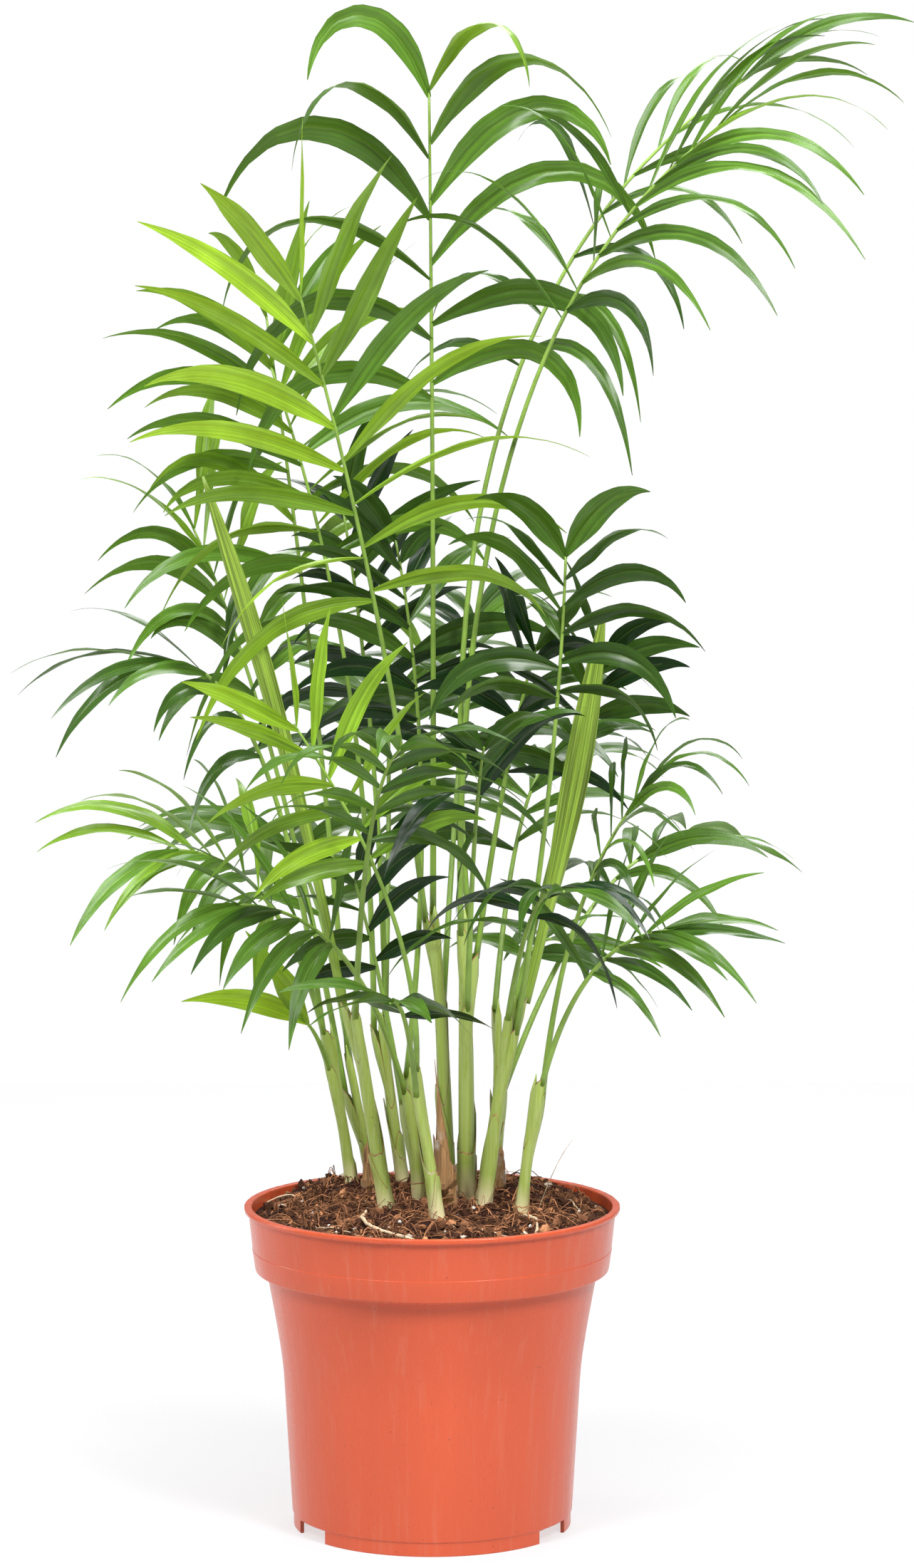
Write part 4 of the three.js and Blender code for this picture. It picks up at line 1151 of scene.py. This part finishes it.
    def lay_stones(self, batch, stone, white):
        ball, faces = pebble()
        for (x, y), size in STONES:
            dents = STONE["dents"][0] + STONE["dents"][1] * self.generator.random((len(ball), 1))
            place = (x, y, self.height(x, y) + STONE["rise"] * size)
            batch.add(ball * dents * size * STONE["shape"] + place, faces, stone)
        for _ in range(GRAIN["count"]):
            dents = GRAIN["dents"][0] + GRAIN["dents"][1] * self.generator.random((len(ball), 1))
            size = GRAIN["size"][0] + GRAIN["size"][1] * self.generator.random()
            batch.add(ball * dents * size + self.place() + (0, 0, GRAIN["rise"]), faces, white)


# ------------------------------------------------------------------------------------------- stems

SOIL_LEVEL = 128
ACROSS = (0, 1, 0)  # the direction from which the sides of upright tubes are counted
# Canes: the core's share of a shoot, the swelling at the foot, how uneven they are, how far and from how
# far below the last sheath's stalk the tip is drawn to a point.
CANE = {"sides": 16, "steps": 26, "core": 0.78, "swell": 0.14, "swell_reach": 7, "uneven": 0.05,
        "streaked": 0.1, "drawn": 0.9, "least": 0.05, "tip": 4}
# Sheaths: the thickness of the first and what each one over it adds, the lip that turns in at the mouth,
# the papery margin, the height they begin at, the swelling at the foot and the waves round them.
SLEEVE = {"rows": 12, "wall": 0.12, "step": 0.17, "lip": 0.2, "lip_depth": 5, "margin": 0.6, "low": 121,
          "swell": 0.12, "swell_reach": 8, "waves": 5, "wave": 0.035, "over_mouth": 3, "flare_from": 0.6}
RIM = ((3, 1.1), (9, 1.3))  # the rim's noise: how often it goes round, and its size
BULGE = {"narrow": 5, "from": 30, "to": 2}  # round the stalk: how narrow, and how far below the mouth
SHEATH_STALK = 1.35  # radius of the stalk where it leaves its sheath
# Of each pair, the first is the least and the second is what chance may add.
SHEATH_DROP = (20, 34)
OLD_SHEATHS = ({"mouth": (138, 14), "drop": 15}, {"mouth": (160, 14), "drop": 25})
OLD_CLEAR = 25  # how far below a shoot's top the mouth of an old sheath stays
RAGGED_FOOT = {"mouth": (125.5, 4), "drop": 5, "over": 0.1}
PALE_FOOT = (0.129, 0.143)  # the heights in metres between which a cane turns from pale to green

# Dead husks: from where the core is drawn to a point, and their layers. Each layer: mouth, side, drop,
# thickness, raggedness, flare and seed.
HUSKS = {
    "dry_sheath": (150, ((153, 200, 12, 1.3, 2.6, 0.05, 3), (141, 40, 7, 1.9, 2.4, 0.18, 5),
                         (133, 0, 3, 1.6, 1.8, 0.15, 8))),
    "dry_stub_left": (146, ((144, 120, 7, 0.7, 1.6, 0, 1), (133, 0, 3, 1.0, 1.8, 0.15, 9))),
    "dry_stub_right": (144, ((142, 240, 7, 0.7, 1.6, 0, 2), (133, 0, 3, 1.0, 1.8, 0.15, 10))),
}
HUSK = {"swell": 0.35, "core": 0.95}

# The folds of a shut leaf: how many, how deep, how far they wind, and where they begin and are full.
SPEAR_FOLDS = {"steps": 44, "sides": 64, "count": 8, "depth": 0.15, "sunk": 0.7, "wind": 0.8,
               "from": (0.2, 0.5)}


def stem_material(name, foot, green):
    """A cane or sheath: pale at the foot, green above, with fine long lines and rare brown spots."""
    material, tree, principled = new_material(name, Roughness=0.36)
    pale, brown = (0.85, 0.88, 0.60), (0.30, 0.17, 0.08)
    coordinates = shader(tree, "ShaderNodeTexCoord")
    place = shader(tree, "ShaderNodeSeparateXYZ", {"Vector": (coordinates, "Object")})
    patches = noise_from(tree, object_place(tree, 0.3), scale=90)
    wander = ranged(tree, patches, 0.3, 0.7, to_low=-0.004, to_high=0.004)
    height = shader(tree, "ShaderNodeMath", {0: (place, "Z"), 1: wander}, operation="ADD")
    base = mixed(tree, ranged(tree, (height, "Value"), *PALE_FOOT), foot, green)
    lines = noise_from(tree, object_place(tree, 0.012), scale=1700, detail=2, roughness=0.5)
    lined = mixed(tree, ranged(tree, lines, 0.38, 0.62), base, mixed(tree, 0.14, base, pale))
    spots = noise_from(tree, object_place(tree, 0.5), scale=240, detail=4, roughness=0.7)
    painted(tree, principled, mixed(tree, ranged(tree, spots, 0.68, 0.74), lined, brown))
    bumped(tree, principled, lines, strength=0.35, distance=0.0002)
    return material


def papery_material(name, colour):
    """Dead sheath: brown, streaky and dull."""
    material, tree, principled = new_material(name, Roughness=0.8)
    grey = (0.62, 0.54, 0.44)
    lines = noise_from(tree, object_place(tree, 0.035), scale=700, detail=4, roughness=0.7)
    tint = mixed(tree, ranged(tree, lines, 0.34, 0.68), shaded(colour, 0.45), shaded(colour, 1.5))
    patches = noise_from(tree, object_place(tree, 0.6), scale=130)
    painted(tree, principled, mixed(tree, ranged(tree, patches, 0.52, 0.72), tint, grey))
    bumped(tree, principled, lines, strength=0.8, distance=0.0006)
    return material


def spear_material(name, colour):
    """A young leaf that is still shut: long light and dark stripes that follow its folds."""
    material, tree, principled = new_material(name, Roughness=0.34)
    stripes = noise_from(tree, surface_place(tree, 0.03), scale=44, roughness=0.6)
    tint = mixed(tree, ranged(tree, stripes, 0.38, 0.62), shaded(colour, 0.4), shaded(colour, 1.3))
    painted(tree, principled, tint)
    bumped(tree, principled, stripes, strength=0.3, distance=0.0003)
    return material


def stalk_material(name, colour):
    """Stalks and ribs: smooth, waxy green with faint patches."""
    material, tree, principled = new_material(name, Roughness=0.38)
    patches = noise_from(tree, object_place(tree), scale=70)
    tint = mixed(tree, ranged(tree, patches, 0.3, 0.7), shaded(colour, 0.8), shaded(colour, 1.3))
    painted(tree, principled, tint)
    grain = noise_from(tree, object_place(tree, 0.25), scale=900, detail=2)
    bumped(tree, principled, grain, strength=0.3, distance=0.0002)
    return material


def cane(bm, shoot, tip_from, swell=CANE["swell"], core=CANE["core"]):
    """The core of a shoot, swollen at its foot and drawn to a point above its last sheath."""
    curve = shoot.curve

    def radius_at(t):
        height = curve.point(t)[2]
        foot = 1 + swell * math.exp(-((height - SOIL_LEVEL) / CANE["swell_reach"]) ** 2)
        drawn = 1 - CANE["drawn"] * smoothstep(height, tip_from, shoot.top)
        return shoot.radius_at(t) * core * foot * drawn + CANE["least"]

    whole, _ = sweep_curve(bm, curve, radius_at, CANE["steps"], CANE["sides"], ACROSS)
    for vert in whole:
        x, y, z = vert.co
        middle = curve.point(np.clip(shoot.share(z), 0, 1))[:2]
        out = 1 + CANE["uneven"] * bumpy(x, y, z * CANE["streaked"], size=1.4, seed=3)
        vert.co = (*(middle + (np.array((x, y)) - middle) * out), z)


def sleeve(bm, shoot, mouth, side, drop, thickness, marks=(0, 1), bulge=False, ragged=0.3, flare=0.0,
           pointed=1.0, seed=0):
    """A sheath round a shoot. Its mouth slants down from the stalk's side, with a papery margin.
    marks: the materials of its wall and of its margin. bulge: whether it swells round the stalk."""
    curve, turn, sides = shoot.curve, math.radians(side), CANE["sides"]
    top = mouth + SLEEVE["over_mouth"]
    # Each ring: how far up the wall it is, how far inwards it is set, and how far it is moved up.
    levels = [(share, 0, 0) for share in np.linspace(0, 1, SLEEVE["rows"])[:-1]]
    levels += [(1, 0, -SLEEVE["margin"]), (1, 0, 0), (1, SLEEVE["lip"], -0.15),
               (1, 1.6 * SLEEVE["lip"], -SLEEVE["lip_depth"])]
    points = [curve.point(0.0) + (0, 0, number) for number in range(len(levels))]
    count = len(levels)
    rings, faces = sweep(bm, points, [UP] * count, [5.0] * count, sides, ACROSS, mark=marks[0])
    for number, vert in enumerate(rings):
        share, inward, upward = levels[number // sides]
        around = math.atan2(vert.co.y - curve.start[1], vert.co.x - curve.start[0])
        away = math.cos(around - turn)
        tongue = (1 + away) / 2
        x, y = math.cos(around), math.sin(around)
        rim = top - drop * (1 - tongue ** pointed)
        rim += ragged * sum(bumpy(often * x, often * y, mouth, size, seed + layer)
                            for layer, (often, size) in enumerate(RIM, 1))
        height = SLEEVE["low"] + share * (rim - SLEEVE["low"]) + upward
        t = np.clip(shoot.share(height), 0, 1)
        swollen = 1 + SLEEVE["swell"] * math.exp(-((height - SOIL_LEVEL) / SLEEVE["swell_reach"]) ** 2)
        radius = shoot.radius_at(t) * CANE["core"] * swollen + thickness
        stray = flare * smoothstep(share, SLEEVE["flare_from"], 1) * tongue ** (pointed - 1)
        radius *= 1 + SLEEVE["wave"] * math.sin(SLEEVE["waves"] * around + seed) + stray
        if bulge:
            reach = shoot.radius_at(t) + GAP + PETIOLE["foot"] + SHEATH_STALK
            near = smoothstep(height, mouth - BULGE["from"], mouth - BULGE["to"])
            radius += max(0, reach - radius) * max(0, away) ** BULGE["narrow"] * near
        radius -= inward
        middle = curve.point(t)
        vert.co = (middle[0] + radius * x, middle[1] + radius * y, height)
    margin = 1 + (SLEEVE["rows"] - 1) * sides
    for face in faces[margin:margin + 2 * sides]:
        face.material_index = marks[1]


class PALM_OT_shoots(bpy.types.Operator):
    """Grows the canes with their sheaths, papery margins and ragged feet"""

    bl_idname = "palm.shoots"
    bl_label = "Shoots"

    def execute(self, context):
        look = settings("palm_stems")
        materials = [stem_material("sheath_green", tuple(look.foot), tuple(look.green)),
                     papery_material("sheath_margin", tuple(look.margin))]
        generator = np.random.default_rng(11)
        stalks = defaultdict(list)
        for row in (*FRONDS.values(), *SPEARS.values()):
            stalks[row["shoot"]].append((row["at"], row["side"]))
        for number, name in enumerate(SHOOTS):
            shoot = growth().shoots[name]
            leaving = sorted(stalks[name], reverse=True)
            bm = bmesh.new()
            cane(bm, shoot, leaving[0][0] - CANE["tip"])
            thickness = SLEEVE["wall"]
            for order, (at, side) in enumerate(leaving):
                drop = SHEATH_DROP[0] + SHEATH_DROP[1] * generator.random()
                sleeve(bm, shoot, at, side, drop, thickness, bulge=True, seed=7 * number + order)
                thickness += SLEEVE["step"]
            for order, old in enumerate(OLD_SHEATHS):
                mouth = old["mouth"][0] + old["mouth"][1] * generator.random()
                if mouth < shoot.top - OLD_CLEAR:
                    sleeve(bm, shoot, mouth, 360 * generator.random(), old["drop"], thickness, ragged=0.9,
                           flare=0.3, pointed=3.0, seed=50 + 7 * number + order)
                    thickness += SLEEVE["step"]
            mouth = RAGGED_FOOT["mouth"][0] + RAGGED_FOOT["mouth"][1] * generator.random()
            side = 360 * generator.random()
            sleeve(bm, shoot, mouth, side, RAGGED_FOOT["drop"], thickness + RAGGED_FOOT["over"],
                   marks=(1, 1), ragged=1.6, flare=0.1, seed=90 + number)
            piece_from(bm, name + "_cane", materials, [name])
        return {"FINISHED"}


class PALM_OT_dry_sheaths(bpy.types.Operator):
    """Stands the dead brown sheath and the two cut stubs among the canes"""

    bl_idname = "palm.dry_sheaths"
    bl_label = "Dry sheaths"

    def execute(self, context):
        look = settings("palm_stems")
        materials = [papery_material("dead_sheath", tuple(look.dry)),
                     papery_material("dead_frill", shaded(tuple(look.margin), 0.8))]
        for name, (tip_from, layers) in HUSKS.items():
            shoot = growth().shoots[name]
            bm = bmesh.new()
            cane(bm, shoot, tip_from, HUSK["swell"], HUSK["core"])
            for mouth, side, drop, thickness, ragged, flare, seed in layers:
                sleeve(bm, shoot, mouth, side, drop, thickness, ragged=ragged, flare=flare, seed=seed)
            piece_from(bm, name + "_husk", materials, [name])
        return {"FINISHED"}


class PALM_OT_spears(bpy.types.Operator):
    """Raises the two young leaves that are still shut"""

    bl_idname = "palm.spears"
    bl_label = "Spears"

    def execute(self, context):
        material = spear_material("spear_green", tuple(settings("palm_stems").spear))
        steps, sides = SPEAR_FOLDS["steps"], SPEAR_FOLDS["sides"]
        for name, row in SPEARS.items():
            curve = growth().spears[name]
            radius_at = partial(spear_radius, row)
            bm = bmesh.new()
            whole, faces = sweep_curve(bm, curve, radius_at, steps, sides, ACROSS, SPEAR_FLAT)
            places = {}
            for number, vert in enumerate(whole):
                t = number // sides / steps
                middle, ahead = curve.point(t), curve.heading(t)
                across = unit(np.cross(ahead, ACROSS))
                upward = np.cross(ahead, across)
                away = np.array(vert.co) - middle
                angle = math.atan2(np.dot(away, upward) / SPEAR_FLAT, np.dot(away, across))
                wave = math.cos(SPEAR_FOLDS["count"] * angle + SPEAR_FOLDS["wind"] * t) - SPEAR_FOLDS["sunk"]
                folded = SPEAR_FOLDS["depth"] * smoothstep(t, *SPEAR_FOLDS["from"])
                vert.co = middle + away * (1 + folded * wave)
                places[vert] = (angle / (2 * math.pi) + 0.5, t)
            layer = bm.loops.layers.uv.new(SURFACE)
            for face in faces:
                highest = max(places[vert][0] for vert in face.verts)
                for loop in face.loops:
                    around, t = places[loop.vert]
                    loop[layer].uv = (around + (highest - around > 0.5), t)
            piece_from(bm, name + "_shut", [material], [name])
        return {"FINISHED"}


# ------------------------------------------------------------------------------------------ fronds

TONES = 7
MIDDLE_TONE = 3
TONE_JITTER = {"chance": 0.6, "age": 0.4}  # in tones, by chance and from the oldest to the youngest leaflet
STATIONS = (0, 1, 2, 3, 5, 6, 8, 9, 11, 12, 14, 15, 17, 18, 20, 21, 22, 23, 24)  # of the steps of a blade
# The columns of a leaflet by share of its half width, and how far its pleats lift each of them.
SHARES = np.array((-1, -0.5, -0.06, 0, 0.06, 0.5, 1))
PLEATS = np.array((0.02, 0.06, 0.0, -0.06, 0.0, 0.06, 0.02))
# Where a leaflet's nerve shows: between its middle columns, up to a row. It is a little paler.
NERVE = {"strips": (2, 3), "rows": 12, "pale": (0.6, 0.8, 0.2), "share": 0.07}
# How a leaflet strays: to the side and down by share of its length, in a bend with the power "bend"; and
# the depth of its margin's ripple, its number of waves and its twist by share of its half width.
STRAY = {"side": 0.15, "sag": 0.13, "bend": 2.2, "ripple": 0.13, "waves": (1.6, 1.6), "twist": 0.42}
# How its width and its fold vary by chance, and how and where they change along it.
WIDTH = {"most": 1.04, "less": 0.3, "taper": 0.25, "taper_from": 0.7, "foot": 0.08, "foot_to": 0.14,
         "blunt": 0.025, "blunt_from": 0.8}
FOLD = {"least": 0.75, "more": 0.5, "flat": 0.1, "flat_at": 0.85, "pleats": (0.35, 0.9),
        "ripple": (0.08, 0.3)}
# Fronds whose leaflets are narrower still than the others, by share.
SLENDER = {"frond_arch_right": 0.64, "frond_arch_back": 0.62, "frond_low_right": 0.76, "frond_right": 0.84,
           "frond_dark_right": 0.8, "frond_front_right": 0.76, "frond_fine_right": 0.8,
           "frond_reach_left": 0.84}
RIB = {"foot": 1.3, "tip": 0.5, "sides": 8, "steps": 30}


def leaf_material(name, colour, look):
    """A leaflet: satin green with faint patches, fine long veins, and light that passes through."""
    material, tree, principled = new_material(name, Roughness=look.roughness, Specular_IOR_Level=0.4)
    veins = noise_from(tree, surface_place(tree, 0.05), scale=15, roughness=0.6)
    patches = ranged(tree, noise_from(tree, object_place(tree), scale=48), 0.3, 0.7)
    darker = mixed(tree, patches, shaded(colour, 0.48), shaded(colour, 0.80))
    lighter = mixed(tree, patches, shaded(colour, 0.88), shaded(colour, 1.42))
    painted(tree, principled, mixed(tree, ranged(tree, veins, 0.38, 0.60), darker, lighter))
    bumped(tree, principled, veins, strength=0.1, distance=0.0004)
    red, green, blue = colour
    glow = (*shaded((1.9 * red, 1.7 * green, blue), 1), 1)
    through = shader(tree, "ShaderNodeBsdfTranslucent", {"Color": glow})
    inputs = {"Fac": look.translucence, 1: (principled, "BSDF"), 2: (through, "BSDF")}
    both = shader(tree, "ShaderNodeMixShader", inputs)
    tree.links.new(both.outputs["Shader"], tree.nodes["Material Output"].inputs["Surface"])
    return material


def blade_sheet(rows, look, slender, generator):
    """A leaflet's points and their places: a shallow fold along its nerve, pleats and a wavy margin."""
    rows = rows[list(STATIONS)]
    u = np.array(STATIONS) / BLADE_STEPS
    point, across, upper, half = rows[:, :3], rows[:, 3:6], rows[:, 6:9], rows[:, 9]
    roll = math.radians(look.sway) * (2 * generator.random() - 1)
    across, upper = (across * math.cos(roll) + upper * math.sin(roll),
                     upper * math.cos(roll) - across * math.sin(roll))
    reach = np.linalg.norm(np.diff(point, axis=0), axis=1).sum()
    side = STRAY["side"] * (2 * generator.random() - 1) * across[0]
    sag = STRAY["sag"] * generator.random() * UP
    point = point + reach * (side - sag) * (u ** STRAY["bend"])[:, None]
    widest = half.max()
    half = half * (look.slender * slender * (WIDTH["most"] - WIDTH["less"] * generator.random()))
    half = half * (1 - WIDTH["taper"] * smoothstep(u, WIDTH["taper_from"], 1))
    half = half + widest * (WIDTH["foot"] * (1 - smoothstep(u, 0, WIDTH["foot_to"]))
                            + WIDTH["blunt"] * smoothstep(u, WIDTH["blunt_from"], 1))
    fold = look.fold * (FOLD["least"] + FOLD["more"] * generator.random())
    fold = fold * lerp(1, FOLD["flat"], smoothstep(u, 0, FOLD["flat_at"]))
    phases = 2 * math.pi * generator.random(2)
    waves = STRAY["waves"][0] + STRAY["waves"][1] * generator.random()
    phase = np.where(SHARES < 0, phases[0], phases[1])
    ripple = STRAY["ripple"] * np.sin(2 * math.pi * waves * u[:, None] + phase)
    ripple = ripple * smoothstep(u, *FOLD["ripple"])[:, None]
    pleats = PLEATS * (1 - smoothstep(u, *FOLD["pleats"]))[:, None]
    twist = STRAY["twist"] * (2 * generator.random() - 1) * u[:, None] * SHARES
    rise = fold[:, None] * abs(SHARES) + pleats + ripple * SHARES ** 2 + twist
    sheet = (point[:, None] + across[:, None] * (SHARES * half[:, None])[..., None]
             + upper[:, None] * (rise * half[:, None])[..., None])
    places = np.stack(np.broadcast_arrays(SHARES[None] * half[:, None] / widest / 2 + 0.5, u[:, None]), 2)
    return sheet.reshape(-1, 3), places.reshape(-1, 2)


class PALM_OT_fronds(bpy.types.Operator):
    """Unfolds the fronds: a rib for each, and its leaflets"""

    bl_idname = "palm.fronds"
    bl_label = "Fronds"

    def execute(self, context):
        look = settings("palm_leaves")
        leaves = self.materials(look)
        rib = stalk_material("stalk_green", tuple(settings("palm_stems").petiole))
        strips = len(SHARES) - 1
        faces = sheet_faces(len(STATIONS), len(SHARES))
        number = np.arange(len(faces))
        nerve = np.isin(number % strips, NERVE["strips"]) & (number // strips < NERVE["rows"])
        generator = np.random.default_rng(23)
        for name, row in FRONDS.items():
            batch = Batch()
            for rows, age in growth().leaflets[name]:
                # A leaflet's tone, and with it its painted shade or light, from its frond's tone, chance and
                # its place.
                tone = row["tone"] + TONE_JITTER["chance"] * generator.standard_normal()
                tone = round(tone + TONE_JITTER["age"] * (age - 0.5))
                tone = int(np.clip(tone, 0, TONES - 1))
                points, places = blade_sheet(rows, look, SLENDER.get(name, 1), generator)
                batch.add(points, faces, np.where(nerve, TONES + tone, tone).tolist(), places)
            batch.piece(name + "_leaflets", leaves, self.slot(name), [name])
            bm = bmesh.new()
            sweep_curve(bm, growth().stalks[name], self.rib_radius, RIB["steps"], RIB["sides"], row["face"])
            piece_from(bm, name + "_rib", [rib], [name])
        return {"FINISHED"}

    @staticmethod
    def rib_radius(t):
        return lerp(RIB["foot"], RIB["tip"], t)

    @staticmethod
    def slot(name):
        if name in BRIGHT_FRONDS:
            return "leaf_bright"
        return "leaf_dark" if name in DARK_FRONDS else "leaf_green"

    @staticmethod
    def materials(look):
        """The greens of leaflets from the darkest to the brightest, and then the greens of their nerves."""
        dark, middle, bright = (np.array(colour) for colour in (look.dark, look.middle, look.bright))
        # Greens from dark to bright: partly the leaves' own greens, partly painted shade and painted light.
        greens = [lerp(dark, middle, tone / MIDDLE_TONE) for tone in range(MIDDLE_TONE)]
        greens += [lerp(middle, bright, tone / MIDDLE_TONE) for tone in range(TONES - MIDDLE_TONE)]
        nerves = [lerp(green, np.array(NERVE["pale"]), NERVE["share"]) for green in greens]
        return [leaf_material(f"{kind}_{tone}", tuple(colour.tolist()), look)
                for kind, colours in (("leaf_green", greens), ("leaf_nerve", nerves))
                for tone, colour in enumerate(colours)]


# ------------------------------------------------------------------------------------------- stage

# Soft boxes: place, width and height in metres, and power in watts.
SOFT_BOXES = {
    "soft_strip_left": ((-1.3, 0.36, 0.5), (0.16, 1.3), 12),
    "soft_box_left": ((-1.05, -1.3, 1.8), (0.5, 0.8), 64),
    "soft_box_right": ((0.95, -1.4, 1.8), (0.5, 0.8), 100),
    "soft_box_top": ((0, -0.4, 2.3), (1.4, 1.2), 100),
    "soft_box_back": ((0.2, 1.6, 1.8), (1.2, 0.8), 44),
}
AIM = (0, 0, 0.3)
FLOOR = {"reach": 1.1, "cells": 8}


class PALM_OT_stage(bpy.types.Operator):
    """Lays the pale floor and sets the surround, the soft boxes and the camera"""

    bl_idname = "palm.stage"
    bl_label = "Stage"

    def execute(self, context):
        look, scene = settings("palm_stage"), context.scene
        scene.view_settings.view_transform = "Standard"
        self.lay_floor(scene, look)
        self.set_surround(scene, look)
        self.hang_soft_boxes(scene, look)
        self.set_camera(scene)
        return {"FINISHED"}

    @staticmethod
    def lay_floor(scene, look):
        bm = bmesh.new()
        bmesh.ops.create_grid(bm, x_segments=FLOOR["cells"], y_segments=FLOOR["cells"], size=FLOOR["reach"])
        mesh = bpy.data.meshes.new("floor")
        bm.to_mesh(mesh)
        bm.free()
        mesh.materials.append(new_material("pale_floor", Base_Color=(0.20, 0.20, 0.21, 1), Roughness=0.9,
                                           Emission_Color=(1, 1, 1, 1), Emission_Strength=look.floor_glow)[0])
        floor = bpy.data.objects.new("floor", mesh)
        scene.collection.objects.link(floor)

    @staticmethod
    def set_surround(scene, look):
        """White where the camera looks past the floor, and weaker as a light and as a reflection."""
        world = bpy.data.worlds.new("white_surround")
        world.use_nodes = True
        tree = world.node_tree
        ray = shader(tree, "ShaderNodeLightPath")
        inputs = {0: (ray, "Is Glossy Ray"), 1: look.sheen - look.surround, 2: look.surround}
        glossy = shader(tree, "ShaderNodeMath", inputs, operation="MULTIPLY_ADD")
        inputs = {0: (ray, "Is Camera Ray"), 1: (glossy, "Value")}
        seen = shader(tree, "ShaderNodeMath", inputs, operation="MAXIMUM")
        fill = tree.nodes["Background"]
        fill.inputs["Color"].default_value = (1, 1, 1, 1)
        tree.links.new(seen.outputs["Value"], fill.inputs["Strength"])
        scene.world = world

    @staticmethod
    def hang_soft_boxes(scene, look):
        for name, (place, size, power) in SOFT_BOXES.items():
            light = bpy.data.lights.new(name, "AREA")
            light.shape = "RECTANGLE"
            light.size, light.size_y = size
            light.energy = power * look.lights
            lamp = bpy.data.objects.new(name, light)
            lamp.location = place
            lamp.visible_camera = False
            lamp.rotation_euler = (Vector(AIM) - Vector(place)).to_track_quat("-Z", "Y").to_euler()
            scene.collection.objects.link(lamp)

    @staticmethod
    def set_camera(scene):
        camera = bpy.data.cameras.new("camera")
        camera.lens = CAMERA["lens"]
        camera.sensor_width = CAMERA["sensor"]
        eye = bpy.data.objects.new("camera", camera)
        eye.location = CAMERA["place"]
        eye.rotation_euler = (math.radians(90 - CAMERA["pitch"]), 0, -CAMERA["turn"])
        scene.collection.objects.link(eye)
        scene.camera = eye


OPERATORS = (PALM_OT_stage, PALM_OT_pot, PALM_OT_soil, PALM_OT_litter, PALM_OT_shoots, PALM_OT_dry_sheaths,
             PALM_OT_spears, PALM_OT_fronds)
GROUPS = {"palm_pot": PotSettings, "palm_soil": SoilSettings, "palm_stems": StemSettings,
          "palm_leaves": LeafSettings, "palm_stage": StageSettings}


class PALM_PT_panel(bpy.types.Panel):
    """Sizes and colours of the palm, and a button for each group of its pieces"""

    bl_idname = "PALM_PT_panel"
    bl_label = "Potted parlour palm"
    bl_space_type = "VIEW_3D"
    bl_region_type = "UI"
    bl_category = "Palm"

    def draw(self, context):
        for operator in OPERATORS:
            self.layout.operator(operator.bl_idname)
        for name, group in GROUPS.items():
            box = self.layout.box()
            for key in group.__annotations__:
                box.prop(getattr(context.scene, name), key)


def register():
    for group in GROUPS.values():
        bpy.utils.register_class(group)
    for name, group in GROUPS.items():
        setattr(bpy.types.Scene, name, bpy.props.PointerProperty(type=group))
    for item in (*OPERATORS, PALM_PT_panel):
        bpy.utils.register_class(item)


def unregister():
    for item in (PALM_PT_panel, *reversed(OPERATORS)):
        bpy.utils.unregister_class(item)
    for name in GROUPS:
        delattr(bpy.types.Scene, name)
    for group in reversed(GROUPS.values()):
        bpy.utils.unregister_class(group)


def main():
    register()
    for operator in OPERATORS:
        family, verb = operator.bl_idname.split(".")
        getattr(getattr(bpy.ops, family), verb)()


if __name__ == "__main__":
    main()
